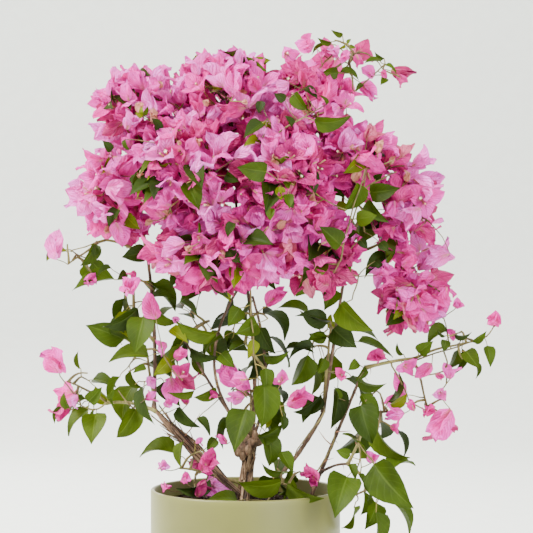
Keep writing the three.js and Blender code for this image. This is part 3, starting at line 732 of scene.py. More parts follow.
# Where one sees right through it, beside and above the hanging flowers on the right.
GAPS = [(131, 352, 19), (176, 386, 15), (158, 326, 17), (127, 431, 14), (162, 424, 13),
        (132, 400, 16), (138, 491, 12)]
# The trunk and its head show, so no leaf grows by the rule in front of them.
TRUNK_MIDDLE = 3
TRUNK_ROOM = 19
TRUNK_SHOWS = (176, 240)


def hides_trunk(point):
    beside = abs(point[0] - TRUNK_MIDDLE) < TRUNK_ROOM
    return beside and point[1] < 0 and TRUNK_SHOWS[0] < point[2] < TRUNK_SHOWS[1]


def grow_leaf(dice, name, root, direction, length, droop=0.0):
    """A leaf on its stalk. Its upper face turns up and outward."""
    stalk = root + direction * (0.22 * length)
    along = unit(direction + droop * DOWN)
    tip = stalk + along * length
    if in_pot(tip) or in_pot(stalk):
        return False
    if any(hides_trunk(stalk + share * length * along) for share in (0.2, 0.6, 1)):
        return False
    if not name.startswith("shoots") and not in_space(name, tip):
        return False
    if name.startswith("crown") and past_edge(tip, 10):
        return False
    outward = unit((stalk - CROWN_HEART) * (1, 1, 0) + (0, 0, 1e-3))
    upward = unit(np.array((0, 0, 0.9)) + 0.9 * outward + scatter(dice, 0.5))
    tone = leaf_tone(dice, name, length)
    leaf_sites.append((stalk, along, upward, length, LEAF_WIDTH * length, tone, name))
    threads.append((root, stalk + along * 0.6, scatter(dice, 0.8)))
    return True


def leaf_tone(dice, name, length):
    """0 is a dark old leaf and 3 a young yellow-green one."""
    pick = dice.random()
    if length < 30:
        return 3 if pick < 0.4 else 2 if pick < 0.7 else 1
    # Leaves inside the crown mostly get the dark tone: older leaves, and painted shade of the crown's inside.
    if name.startswith("crown"):
        return 0 if pick < 0.6 else 1
    return 0 if pick < 0.35 else 1 if pick < 0.75 else 2


def past_edge(point, room):
    left, right = (np.interp(point[2], CROWN_EDGE[:, 0], CROWN_EDGE[:, k]) for k in (1, 2))
    return not left + room < point[0] < right - room


# The crown's layers of flowers: share of the way out to the skin, and how far apart the flowers stand.
CROWN_LAYERS = [(1.0, 14.0), (0.72, 19.0)]
FLOWER_INSET = 12.5


def open_at(point, openings):
    """Whether one looks into one of these openings there, as seen from the front."""
    return any(math.hypot(point[0] - x, point[2] - z) < room for x, z, room in openings)


def grow_crown(dice, name, outward, nearest_joint):
    """The crown's flowers, spread over the mass's skin and in one thinner layer below it. Two to four that
    stand close together are carried by one twig."""
    centre = CENTRES[name]
    feet = []
    for share, gap in CROWN_LAYERS:
        count = round(4 * math.pi * (52 * share) ** 2 / gap ** 2)
        for k in range(count):
            height = 1 - 2 * (k + 0.5) / count
            ring = math.sqrt(1 - height * height)
            level = np.array((ring * math.cos(GOLDEN_TURN * k), ring * math.sin(GOLDEN_TURN * k), height))
            heading = unit(level + scatter(dice, 0.14))
            if share == 1 and heading.dot(outward) < -0.55:
                continue
            out, walled = free_reach(name, heading, FLOWER_INSET, 5)
            heart = centre + heading * out * (share - 0.16 * dice.random() ** 2)
            if heading[1] < 0 and share == 1 and open_at(heart, HOLLOWS):
                continue
            lean = (heading + 0.55 * outward) * (1, 0.45, 1) + np.array((0, 0, 0.3))
            facing = unit(lean + scatter(dice, 0.95))
            if crowded(heart, BLOOM_SPACING) or past_edge(heart, 12) or (walled and dice.random() < 0.25):
                continue
            if open_at(heart, GAPS):
                continue
            scale = dice.uniform(0.68, 1.04)
            bloom_hearts.append(heart)
            feet.append((heart - facing * 12 * scale, facing, scale, share))
    while feet:
        near = sorted(range(len(feet)), key=lambda i: np.linalg.norm(feet[i][0] - feet[0][0]))
        group = [i for i in near[:dice.choice((2, 3, 3, 4))] if np.linalg.norm(feet[i][0] - feet[0][0]) < 26]
        members = [feet[i] for i in group]
        feet = [each for i, each in enumerate(feet) if i not in group]
        middle = np.mean([foot for foot, facing, scale, share in members], axis=0)
        ahead = unit(sum(facing for foot, facing, scale, share in members) + 1e-3)
        node = middle - ahead * dice.uniform(5, 9)
        root = nearest_joint(node)
        bow = scatter(dice, 0.06) * np.linalg.norm(node - root) + (0, 0, 1)
        twigs.append((bowed(root, node, bow), TWIG_THICK, 5))
        for foot, facing, scale, share in members:
            # Flowers of the layer under the skin are marked inner and later draw deeper shades: painted shade
            # of the crown's inside.
            blooms.append((foot, facing, dice.uniform(0, 2 * math.pi), scale, dice.random(),
                           None if share == 1 else "inner", name))
            threads.append((node, foot - facing * 0.5, scatter(dice, 1.2)))
        if dice.random() < 0.28:
            way = unit(node - root + 12 * members[0][1] + scatter(dice, 8))
            bud = node + way * dice.uniform(14, 20)
            if not past_edge(bud, 4):
                turn = dice.uniform(0, 2 * math.pi)
                blooms.append((bud, way, turn, dice.uniform(0.22, 0.34), 0.0, 6, name))
                threads.append((node, bud, scatter(dice, 1.2)))


# What stands in front is placed one by one, by where it shows in the camera's frame of 533 pixels by 533.
# Its place is given in one of four close views of that frame, or in the whole. Each view has its first pixel,
# across and down, and is so many times larger.
FRAME_MIDDLE = 266.5
SIGHT_LENGTH = 1686
TOP_LEFT = (60, 20, 5.807)
TOP_RIGHT = (265, 20, 5.85)
LOW_LEFT = (60, 235, 5.807)
LOW_RIGHT = (265, 235, 5.85)
WHOLE = (0, 0, 1)
EYE_ACROSS, EYE_BACK, EYE_HEIGHT = (value / MM for value in CAMERA_PLACE)


def frame_spot(view, across, down):
    left, top, zoom = view
    return left + across / zoom, top + down / zoom


def place_at(spot, depth):
    """Across and height of what shows at a spot of the frame and stands at this depth."""
    step = (depth - EYE_BACK) / SIGHT_LENGTH
    return EYE_ACROSS + (spot[0] - FRAME_MIDDLE) * step, EYE_HEIGHT - (spot[1] - FRAME_MIDDLE) * step


FACE_NAMES = [name for name in MASSES if name.startswith("crown") or name == "sprig_top"]
FACE_CENTRES = np.array([CENTRES[name] for name in FACE_NAMES])
FACE_REACHES = np.array([REACHES[name] for name in FACE_NAMES])
FACE_INSETS = (12, 6, 2, 0)
FOREMOST = -112
REARMOST = 40
BESIDE_THE_CROWN = -6


def crown_depth(spot):
    """How far forward a flower stands there: a little inside the skin of the foremost mass."""
    for inset in FACE_INSETS:
        for depth in range(FOREMOST, REARMOST):
            x, z = place_at(spot, depth)
            off = (np.array((x, depth, z)) - FACE_CENTRES) / (FACE_REACHES - inset)
            if (off ** 2).sum(axis=1).min() <= 1:
                return depth
    return BESIDE_THE_CROWN


# The crown's foremost flowers: across and down, breadth, shade, the way the flower looks as seen from the
# front in degrees, how far it turns to the front, and how open it is. The shades are 0 pale, 1 rose, 2
# pink, 3 deep, 4 magenta, 5 faded and 6 for a young bud.
CROWN_PLACES = [
    (TOP_LEFT, [
        (330, 325, 120, 0, 95, 0.5, 0.3), (300, 400, 120, 1, 60, 0.6, 0.4), (240, 470, 150, 1, 185, 0.5, 0.5),
        (268, 640, 160, 0, 200, 0.4, 0.35), (205, 825, 160, 1, 190, 0.5, 0.45),
        (110, 965, 140, 0, 170, 0.4, 0.6), (165, 1065, 190, 0, 230, 0.5, 0.6),
        (212, 1190, 130, 2, 260, 0.4, 0.4), (320, 985, 180, 0, 0, 0.6, 0.5), (405, 600, 140, 0, 70, 0.7, 0.4),
        (530, 395, 130, 1, 80, 0.5, 0.5), (385, 430, 130, 1, 100, 0.5, 0.4),
        (700, 430, 160, 0, 100, 0.4, 0.4), (800, 270, 140, 0, 90, 0.4, 0.2), (915, 265, 120, 2, 80, 0.4, 0.3),
        (1035, 235, 100, 0, 95, 0.3, 0.2), (1170, 350, 170, 1, 80, 0.7, 0.8),
        (1100, 270, 110, 1, 60, 0.4, 0.5), (550, 855, 130, 3, 270, 0.5, 0.5),
        (455, 760, 130, 1, 200, 0.5, 0.5), (640, 950, 150, 1, 250, 0.6, 0.6),
        (800, 850, 160, 0, 60, 0.3, 0.3), (875, 920, 120, 1, 280, 0.5, 0.5), (920, 735, 190, 0, 90, 0.5, 0.3),
        (1080, 775, 170, 0, 10, 0.3, 0.2), (845, 1045, 200, 0, 120, 0.8, 0.8),
        (600, 1060, 150, 1, 150, 0.5, 0.5), (480, 1175, 170, 0, 190, 0.4, 0.3),
        (650, 1165, 120, 1, 270, 0.4, 0.5), (765, 1165, 130, 2, 250, 0.5, 0.5),
        (835, 1115, 120, 0, 280, 0.3, 0.2), (810, 1270, 120, 2, 270, 0.8, 0.7),
        (665, 1310, 130, 0, 200, 0.1, 0), (720, 1420, 120, 0, 240, 0.4, 0.5),
        (870, 1400, 190, 1, 330, 0.4, 0.4), (1130, 1120, 150, 1, 300, 0.6, 0.5),
        (1060, 1010, 110, 2, 270, 0.5, 0.5), (1165, 1010, 140, 1, 330, 0.5, 0.4),
        (1220, 730, 140, 1, 80, 0.5, 0.3), (1480, 940, 120, 2, 60, 0.4, 0.3),
        (1345, 1225, 170, 0, 310, 0.7, 0.5), (1190, 1420, 180, 0, 290, 0.4, 0.4),
        (1080, 1330, 130, 1, 200, 0.5, 0.4), (1010, 520, 170, 3, 180, 0.3, 0.4),
        (1110, 590, 120, 2, 200, 0.5, 0.4), (1230, 610, 110, 5, 20, 0.2, 0.2),
        (700, 600, 130, 1, 120, 0.6, 0.5), (800, 495, 130, 2, 100, 0.5, 0.4),
        (620, 510, 140, 1, 160, 0.5, 0.5), (890, 545, 100, 0, 30, 0.2, 0.1), (800, 640, 130, 3, 90, 0.5, 0.5),
        (980, 1170, 150, 3, 180, 0.3, 0.3), (700, 770, 120, 3, 220, 0.7, 0.6), (460, 510, 60, 6, 80, 0.3, 0),
        (540, 540, 70, 6, 300, 0.3, 0), (935, 1365, 60, 6, 270, 0.4, 0), (1100, 1110, 50, 6, 90, 0.4, 0),
        (1280, 1190, 60, 6, 60, 0.4, 0), (470, 920, 70, 6, 120, 0.4, 0), (790, 725, 60, 6, 80, 0.5, 0),
        (1250, 830, 60, 6, 100, 0.4, 0),
    ]),
    (TOP_RIGHT, [
        (85, 400, 170, 0, 200, 0.4, 0.4), (120, 500, 160, 0, 250, 0.5, 0.5),
        (195, 890, 170, 3, 100, 0.8, 0.9), (250, 940, 120, 3, 300, 0.6, 0.5),
        (420, 930, 170, 2, 330, 0.7, 0.8), (480, 720, 170, 0, 80, 0.5, 0.5), (575, 810, 190, 2, 10, 0.3, 0.5),
        (250, 760, 180, 1, 110, 0.5, 0.5), (480, 470, 160, 2, 70, 0.5, 0.9),
        (400, 520, 120, 1, 200, 0.5, 0.5), (480, 590, 120, 1, 280, 0.4, 0.4),
        (620, 670, 130, 5, 60, 0.3, 0.5), (805, 760, 140, 5, 80, 0.4, 0.6), (910, 825, 160, 0, 40, 0.3, 0.3),
        (925, 965, 200, 0, 330, 0.4, 0.4), (860, 1140, 180, 0, 200, 0.4, 0.3),
        (750, 1100, 120, 1, 260, 0.4, 0.4), (720, 1240, 140, 3, 200, 0.3, 0.5),
        (950, 1240, 150, 3, 330, 0.4, 0.5), (1010, 1370, 190, 0, 20, 0.3, 0.4),
        (850, 1350, 110, 2, 150, 0.4, 0.4), (690, 1475, 170, 0, 190, 0.3, 0.3),
        (135, 1330, 170, 5, 250, 0.5, 0.5), (260, 1240, 130, 1, 270, 0.4, 0.3),
        (330, 1430, 180, 3, 300, 0.5, 0.6), (220, 1100, 150, 1, 80, 0.5, 0.4),
        (30, 700, 110, 1, 100, 0.5, 0.4), (835, 925, 60, 6, 90, 0.4, 0), (530, 915, 70, 6, 60, 0.4, 0),
        (280, 1060, 60, 6, 120, 0.4, 0), (660, 750, 70, 6, 80, 0.3, 0), (740, 820, 50, 6, 60, 0.3, 0),
        (370, 890, 50, 6, 100, 0.4, 0),
    ]),
]
BREADTH_SHARE = 0.96
CROWN_FLOWERS = []
for view, rows in CROWN_PLACES:
    for across, down, breadth, shade, turn, front, opening in rows:
        spot = frame_spot(view, across, down)
        depth = crown_depth(spot)
        x, z = place_at(spot, depth)
        size = round(breadth / view[2] * BREADTH_SHARE)
        CROWN_FLOWERS.append((round(x), depth, round(z), size, shade, turn, front, opening))
bloom_hearts += [np.array(row[:3], float) for row in CROWN_FLOWERS if row[3] > 14]

for index, (name, (bough, centre, reach, bloom_count, leaf_count, forks)) in enumerate(MASSES.items()):
    dice = random.Random(101 + 17 * index)
    centre, reach = CENTRES[name], REACHES[name]
    crown = name.startswith("crown")
    low = bough == "trunk" and centre[2] < TRUNK_HEAD[2]
    start = point_at(limbs[bough], 0.3 if low else 1.0)
    end = centre + unit(centre - start) * reach * (0.1 if crown else 0.35)
    stem = bowed(start, end, (0, 0, 0.04 * np.linalg.norm(end - start)))
    outward = unit(centre - CROWN_HEART) if crown else np.zeros(3)
    twigs.append((stem, BRANCH_THICK if name.startswith("sp") else STEM_THICK, 7))
    joints = [point_at(stem, share) for share in STEM_JOINTS]
    ahead = tangent_at(stem, 1.0)
    spread = unit(np.cross((0.2, 0.3, 1), ahead))
    for k in range(forks + (2 if crown else 1)):
        side = turned(spread, ahead, (k + 0.4 * dice.random()) * 2 * math.pi / (forks + (2 if crown else 1)))
        heading = unit(side + 0.5 * outward)
        branch_end = centre + heading * 0.7 * free_reach(name, heading, 0, 5)[0]
        branch = bowed(point_at(stem, 0.97 - 0.12 * k), branch_end, np.array((0, 0, 3)) + scatter(dice, 2))
        if any(in_pot(point) for point in branch):
            continue
        twigs.append((branch, BRANCH_THICK, 6))
        joints += [point_at(branch, share) for share in BRANCH_JOINTS]

    def nearest_joint(point):
        return min(joints, key=lambda joint: np.linalg.norm(joint - point))

    if crown:
        grow_crown(dice, name, outward, nearest_joint)
        for k in range(24):
            heading = unit(scatter(dice, 1.0) + 0.5 * outward)
            tip = centre + heading * free_reach(name, heading, 12, 4)[0] * dice.uniform(0.4, 0.78)
            root = nearest_joint(tip)
            twigs.append((bowed(root, tip, scatter(dice, 1.5)), TWIG_THICK, 4))
            grow_leaf(dice, name, tip, unit(heading + scatter(dice, 0.8)), dice.uniform(24, 40), 0.4)
    else:
        count = bloom_count + leaf_count
        for k in range(count):
            height = 1 - 2 * (k + 0.5) / count
            ring = math.sqrt(1 - height * height)
            level = np.array((ring * math.cos(GOLDEN_TURN * k), ring * math.sin(GOLDEN_TURN * k), height))
            blooming = (k * bloom_count) % count < bloom_count
            if level[1] < 0.05:  # the front's own leaves and flowers follow below
                continue
            for attempt in range(12):
                heading = unit(level + scatter(dice, 0.2 + 0.03 * attempt))
                length = dice.uniform(*(22, 34) if name.startswith("sp") else (30, 46)) * (1 - 0.02 * attempt)
                out = max(6, free_reach(name, heading, 16 if blooming else 0.45 * length, 8)[0]) * (
                    1 - 0.03 * attempt)
                tip = centre + heading * out
                root = nearest_joint(tip)
                along = unit(unit(tip - root + 1e-3) + 0.5 * heading + DOWN * dice.uniform(0.3, 0.9))
                if blooming:
                    if in_pot(tip) or not grow_cluster(dice, name, tip,
                                                       unit(heading + scatter(dice, 0.3)), 2):
                        continue
                elif in_pot(tip) or not grow_leaf(dice, name, tip, along, length, 0.2):
                    continue
                twig = bowed(root, tip, scatter(dice, 0.08) * np.linalg.norm(tip - root))
                twigs.append((twig, TWIG_THICK, 5))
                if not blooming and dice.random() < 0.5:
                    grow_leaf(dice, name, point_at(twig, 0.55), unit(along + scatter(dice, 0.9)),
                              dice.uniform(20, 34), 0.3)
                break

# The front: the shoots, leaves and flowers that stand out there one by one, each on a stalk from the
# nearest wood. They are placed in the same views, and what is given a depth of its own ends its row with
# it. The others stand in the nearest mass, each at another depth. Places are kept to the whole millimetre.
LOW_MASSES = [name for name in MASSES if not name.startswith("crown")]
USUAL_DEPTH = -10
DEPTH_SHARE = (0.25, 0.6)
DEPTH_TURN = 0.618


def low_depth(spot, count):
    x, z = place_at(spot, USUAL_DEPTH)
    offs = {}
    for name in LOW_MASSES:
        centre, reach = CENTRES[name], REACHES[name]
        offs[name] = math.hypot((x - centre[0]) / reach[0], (z - centre[2]) / reach[2])
    name = min(offs, key=offs.get)
    share = DEPTH_SHARE[0] + DEPTH_SHARE[1] * ((count * DEPTH_TURN) % 1)
    return CENTRES[name][1] - REACHES[name][1] * math.sqrt(max(0, 1 - offs[name] ** 2)) * share


# A shoot runs from one point by way of another to a third, at one depth.
SHOOT_PLACES = [
    (LOW_RIGHT, [
        (870, 735, 1090, 660, 1280, 600, -12), (1280, 600, 1325, 560, 1340, 530, -14),
        (745, 780, 800, 860, 840, 965, -12), (1040, 480, 1050, 520, 1065, 560, -12),
        (1065, 560, 1070, 610, 1090, 660, -12), (1050, 700, 1040, 790, 860, 820, -14),
        (570, 985, 565, 1100, 545, 1210, -40), (340, 1040, 250, 1170, 175, 1290, -36),
        (545, 240, 530, 310, 510, 380, -40), (1050, 760, 1060, 860, 1040, 900, -14),
        (840, 965, 900, 1000, 960, 1040, -12), (545, 1210, 560, 1290, 520, 1400, -62),
        (640, 1345, 600, 1290, 545, 1210, -62), (650, 1115, 610, 1050, 570, 985, -44),
    ]),
    (TOP_RIGHT, [
        (175, 410, 290, 320, 350, 245, -20), (510, 420, 600, 350, 700, 255, -18),
        (290, 320, 240, 285, 190, 255, -20), (290, 325, 360, 360, 425, 405, -20),
        (350, 245, 400, 200, 470, 150, -18), (300, 345, 310, 420, 330, 480, -22),
        (510, 1190, 560, 1030, 600, 870, -56), (600, 870, 680, 850, 750, 820, -50),
        (590, 985, 680, 930, 770, 890, -50), (320, 1030, 400, 1075, 480, 1110, -74),
        (700, 255, 690, 300, 700, 340, -18), (700, 300, 750, 320, 790, 335, -18),
    ]),
    (TOP_LEFT, [
        (1250, 670, 1380, 590, 1510, 510, -72), (1200, 560, 1190, 620, 1175, 690, -74),
    ]),
    (LOW_LEFT, [
        (279, 970, 200, 1020, 100, 980, -10), (1105, 340, 1120, 600, 1150, 880, -40),
        (430, 1005, 380, 960, 340, 900, -10), (600, 700, 640, 760, 700, 830, -28),
    ]),
    (WHOLE, [
        (106, 240, 86, 246, 72, 250, -8), (82, 404, 72, 392, 60, 376, -10),
    ]),
]
FRONT_SHOOTS = []
for view, rows in SHOOT_PLACES:
    for *spots, depth in rows:
        places = [place_at(frame_spot(view, *spots[k:k + 2]), depth) for k in (0, 2, 4)]
        FRONT_SHOOTS.append([(round(x), depth, round(z)) for x, z in places])
# Two more change their depth as they rise: across, depth and height of each point.
FRONT_SHOOTS += [
    [(71, -30, 195), (84, -34, 219), (90, -36, 240)],
    [(91, -64, 400), (101, -68, 442), (117, -64, 492)],
]
# The longest thorns, from root to point.
LONG_THORNS = [
    ((89, -36, 235), (105, -37, 236)), ((82, -34, 223), (72, -36, 237)), ((108, -38, 219), (110, -40, 233)),
    ((-58, -10, 229), (-45, -14, 252)), ((113, -40, 240), (124, -42, 246)), ((76, -30, 205), (88, -32, 209)),
]

# A leaf: its foot and its tip, across and down, its width and its tone, from 0 for dark old ones to 3 for
# young yellow-green ones.
LEAF_PLACES = [
    (LOW_LEFT, [
        (200, 50, 150, 190, 85, 1), (505, 100, 372, 135, 105, 0), (215, 60, 205, 125, 50, 0),
        (300, 190, 205, 215, 35, 1), (385, 215, 330, 255, 50, 0), (700, 215, 640, 295, 70, 0),
        (820, 330, 678, 370, 60, 1), (700, 390, 808, 465, 40, 0), (905, 575, 660, 560, 95, 2),
        (950, 595, 800, 665, 35, 1), (480, 475, 450, 672, 155, 1), (450, 425, 297, 580, 90, 0),
        (518, 708, 285, 675, 105, 2), (640, 545, 742, 635, 75, 3), (760, 660, 915, 730, 70, 0),
        (1045, 425, 975, 525, 95, 1), (1145, 510, 1015, 575, 110, 1), (1165, 535, 1225, 700, 105, 0),
        (1180, 690, 1330, 722, 60, 1), (1310, 665, 1480, 650, 35, 0), (1020, 235, 935, 335, 75, 0),
        (1130, 265, 1275, 275, 35, 0), (1090, 630, 965, 690, 45, 1), (935, 690, 1010, 765, 80, 1),
        (1130, 610, 1095, 720, 70, 3), (1080, 1010, 1015, 1252, 163, 1, -58),
        (1180, 865, 1205, 1115, 168, 1, -50), (1152, 1174, 1310, 1121, 90, 1, -28),
        (1195, 775, 1215, 910, 90, 1), (1290, 1050, 1315, 1135, 50, 0), (905, 890, 790, 978, 75, 2),
        (780, 900, 628, 900, 60, 2), (500, 775, 422, 790, 45, 1), (640, 725, 555, 815, 90, 3),
        (165, 970, 245, 880, 80, 1), (270, 945, 328, 890, 35, 1), (440, 1010, 345, 1190, 125, 2),
        (210, 1035, 205, 1182, 145, 2), (165, 1015, 10, 1110, 60, 2), (55, 1000, 0, 920, 60, 1),
        (480, 880, 550, 1100, 110, 0), (690, 1000, 800, 1130, 90, 0), (800, 1060, 880, 1150, 40, 0),
        (720, 1200, 710, 1360, 70, 2), (905, 1180, 850, 1245, 65, 1), (870, 1420, 700, 1510, 75, 0),
        (1030, 1540, 845, 1530, 100, 2, -62), (1280, 1430, 1040, 1495, 110, 2, -66),
        (1290, 1365, 1165, 1365, 45, 1), (1280, 1260, 1340, 1385, 90, 1),
        (1325, 1440, 1515, 1550, 90, 2, -64), (1550, 590, 1430, 595, 60, 1), (1560, 500, 1382, 440, 80, 0),
        (1520, 715, 1500, 808, 60, 1), (1510, 930, 1375, 1062, 90, 0),
    ]),
    (LOW_RIGHT, [
        (370, 510, 190, 445, 85, 0), (360, 600, 240, 600, 65, 1), (290, 660, 120, 670, 40, 0),
        (400, 320, 330, 435, 110, 1), (445, 400, 600, 570, 150, 2, -40), (400, 550, 520, 665, 130, 0),
        (350, 725, 310, 815, 65, 1), (540, 740, 490, 790, 60, 1), (545, 835, 688, 925, 50, 1),
        (900, 690, 970, 620, 80, 1), (1060, 615, 1050, 668, 50, 1), (1110, 575, 1203, 603, 30, 0),
        (1215, 625, 1300, 558, 50, 1), (1175, 680, 1245, 772, 95, 2), (1300, 645, 1320, 765, 68, 1),
        (1060, 590, 1005, 555, 25, 0), (560, 930, 670, 1115, 90, 1), (560, 995, 610, 1205, 170, 0, -48),
        (420, 895, 415, 1130, 115, 0), (325, 950, 185, 1075, 90, 0), (650, 1115, 765, 1355, 110, 2),
        (640, 1345, 850, 1600, 220, 1, -80), (480, 1415, 400, 1600, 195, 1, -78),
        (495, 1290, 415, 1245, 60, 1), (500, 1340, 530, 1430, 55, 1), (550, 1395, 600, 1460, 35, 1),
        (600, 1460, 630, 1555, 35, 1), (725, 110, 565, 225, 70, 0), (450, 80, 330, 0, 110, 1),
        (815, 700, 750, 648, 20, 1), (590, 775, 520, 850, 60, 1), (430, 960, 415, 885, 35, 1),
    ]),
    (TOP_RIGHT, [
        (455, 90, 385, 65, 30, 2), (390, 125, 300, 105, 30, 1), (480, 140, 500, 110, 25, 2),
        (470, 150, 440, 175, 25, 3), (495, 150, 530, 160, 25, 2), (430, 310, 340, 315, 65, 1),
        (440, 310, 565, 315, 40, 1), (680, 245, 575, 260, 35, 1), (700, 225, 635, 195, 15, 1),
        (700, 262, 770, 305, 35, 1), (700, 340, 670, 390, 45, 1), (570, 375, 525, 410, 35, 1),
        (175, 430, 235, 545, 80, 1, -70), (235, 400, 320, 455, 60, 0, -66), (290, 590, 490, 630, 90, 1, -82),
        (560, 960, 500, 1130, 105, 1, -60), (610, 1010, 790, 1000, 115, 1, -46),
        (600, 1055, 705, 1200, 80, 1, -52), (535, 1165, 655, 1160, 85, 2, -58),
        (440, 1320, 310, 1210, 110, 1, -78), (130, 1030, 160, 1105, 50, 0, -98),
        (80, 980, 85, 1050, 40, 3, -99), (555, 1285, 600, 1340, 50, 0, -50),
        (670, 1305, 720, 1350, 50, 0, -45), (645, 1410, 690, 1450, 50, 0, -45),
        (640, 930, 690, 900, 45, 0, -45), (360, 500, 330, 440, 35, 1, -60), (120, 470, 60, 430, 50, 0, -75),
        (160, 620, 110, 560, 45, 0, -80),
    ]),
    (TOP_LEFT, [
        (480, 550, 470, 500, 30, 3, -60), (480, 550, 520, 510, 30, 2, -60), (480, 560, 440, 540, 28, 3, -60),
        (540, 575, 610, 690, 35, 0, -60), (380, 690, 390, 775, 35, 1, -64),
        (1175, 600, 1060, 690, 85, 0, -80), (1200, 880, 1035, 860, 115, 1, -106),
        (1270, 970, 1280, 1050, 50, 3, -98), (1320, 1010, 1330, 1095, 60, 1, -98),
        (1220, 1090, 1215, 1160, 55, 2, -95), (340, 1100, 270, 1190, 70, 0, -50),
        (1170, 470, 1160, 540, 55, 0, -70), (975, 1330, 1040, 1410, 70, 0, -80),
        (660, 900, 700, 960, 70, 0, -70), (720, 760, 790, 700, 60, 0, -60), (960, 900, 1030, 940, 60, 0, -80),
        (430, 900, 480, 980, 70, 0, -55), (520, 1010, 470, 940, 60, 0, -55), (640, 720, 600, 790, 55, 0, -60),
        (1010, 1180, 960, 1250, 60, 0, -85), (300, 760, 250, 700, 50, 0, -50),
        (820, 860, 860, 930, 55, 0, -70),
    ]),
]
FRONT_LEAVES = []
count = 0
for view, rows in LEAF_PLACES:
    for foot_across, foot_down, tip_across, tip_down, width, tone, *given in rows:
        count += 1
        foot = frame_spot(view, foot_across, foot_down)
        tip = frame_spot(view, tip_across, tip_down)
        depth = given[0] if given else low_depth(((foot[0] + tip[0]) / 2, (foot[1] + tip[1]) / 2), count)
        x, z = place_at(foot, depth)
        tip_x, tip_z = place_at(tip, depth)
        FRONT_LEAVES.append((round(x), round(depth), round(z), round(tip_x - x), round(tip_z - z),
                             round(width / view[2]), tone))

# A flower: its heart, across and down, its breadth and its shade.
FLOWER_PLACES = [
    (WHOLE, [
        (54, 251, 29, 0, -8), (56, 363, 35, 1, -12),
    ]),
    (LOW_LEFT, [
        (165, 275, 110, 1), (395, 310, 157, 1), (428, 222, 65, 3), (535, 440, 152, 2), (680, 495, 60, 0),
        (600, 640, 88, 1), (690, 705, 100, 2), (700, 805, 120, 3), (520, 840, 90, 0), (520, 945, 100, 1),
        (625, 985, 80, 1), (730, 965, 80, 3), (1055, 835, 142, 1), (1035, 945, 115, 0), (1285, 840, 115, 1),
        (1365, 960, 150, 2), (900, 930, 60, 3), (850, 1350, 170, 3, -50), (885, 1280, 70, 2, -45),
        (950, 1195, 75, 2), (595, 1345, 95, 0, -30), (610, 1465, 90, 2, -46), (730, 1420, 90, 1, -52),
        (810, 1490, 100, 4, -40), (1465, 1400, 110, 3, -45), (1235, 370, 145, 2), (80, 950, 95, 0),
        (800, 1200, 60, 1),
    ]),
    (LOW_RIGHT, [
        (800, 330, 160, 1, -40), (740, 270, 110, 2, -34), (890, 350, 110, 2, -30), (760, 400, 110, 1, -30),
        (840, 440, 115, 2, -30), (680, 220, 125, 1, -40), (830, 160, 115, 2, -40), (1030, 120, 165, 0, -30),
        (960, 410, 140, 1, -30), (1045, 340, 125, 2, -26), (1120, 410, 80, 1, -20), (1105, 580, 70, 2, -18),
        (1340, 505, 112, 2, -16), (675, 705, 107, 3, -34), (450, 820, 92, 2, -38), (825, 770, 115, 1),
        (950, 780, 118, 2), (1015, 820, 60, 3), (1080, 810, 115, 1), (1035, 925, 112, 0), (860, 1005, 75, 2),
        (780, 1045, 115, 1), (950, 1030, 100, 2), (1050, 1080, 180, 1), (755, 1125, 75, 2),
        (630, 1310, 100, 1, -50), (285, 1410, 112, 3, -50), (330, 270, 155, 4, -70), (880, 240, 100, 1, -30),
        (950, 250, 110, 1, -30),
    ]),
    (TOP_RIGHT, [
        (135, 205, 132, 1, -24), (250, 150, 145, 1, -20), (400, 190, 112, 0), (470, 200, 80, 1),
        (540, 225, 80, 2), (615, 310, 97, 1), (690, 310, 60, 2), (790, 335, 80, 3), (445, 390, 34, 3),
        (328, 207, 32, 2),
    ]),
]
FRONT_FLOWERS = []
for view, rows in FLOWER_PLACES:
    for across, down, breadth, shade, *given in rows:
        count += 1
        spot = frame_spot(view, across, down)
        depth = given[0] if given else low_depth(spot, count)
        x, z = place_at(spot, depth)
        FRONT_FLOWERS.append((round(x), round(depth), round(z), round(breadth / view[2]), shade))
FRONT = np.array((0.0, -1.0, 0.0))
FLOWER_LENGTH = 25.0
front_dice = random.Random(63)
wood = [limbs[name] for name in limbs] + [curve for curve, thick, sides in twigs]
wood_points = np.concatenate(wood)


def nearest_wood(point):
    return wood_points[((wood_points - point) ** 2).sum(axis=1).argmin()]


def nearest_mass(point):
    return min(MASSES, key=lambda name: np.linalg.norm((point - CENTRES[name]) / REACHES[name]))


SHORT_STALK = 14


def hang_on(root, foot, end):
    """A stalk from the wood: a fine green thread where it is short, a thicker twig where it is long."""
    reach = np.linalg.norm(foot - root)
    if reach < SHORT_STALK:
        threads.append((root, end, scatter(front_dice, 0.06) * reach))
    else:
        twigs.append((bowed(root, end, scatter(front_dice, 0.08) * reach), STALK_THICK, 4))


for start, way, end in np.array(FRONT_SHOOTS, float):
    root = nearest_wood(start)
    curve = bowed(start, end, way - (start + end) / 2)
    lead = bowed(root, start, scatter(front_dice, 0.05) * np.linalg.norm(start - root), 6)[:-1]
    twigs.append((np.concatenate([lead, curve]), SHOOT_THICK, 6))
    wood_points = np.concatenate([wood_points, curve])
long_thorns = Heap()
for start, end in np.array(LONG_THORNS, float):
    root = nearest_wood(start)
    line = np.array([root, start + 0.3 * (end - start), start + 0.7 * (end - start), end])
    lay_tube(long_thorns, line, np.array([0.8, 0.55, 0.4, 0.1]), 6, front_dice.random())
long_thorns.join("long_thorns", thorn_skin, "bark", stout[1:])
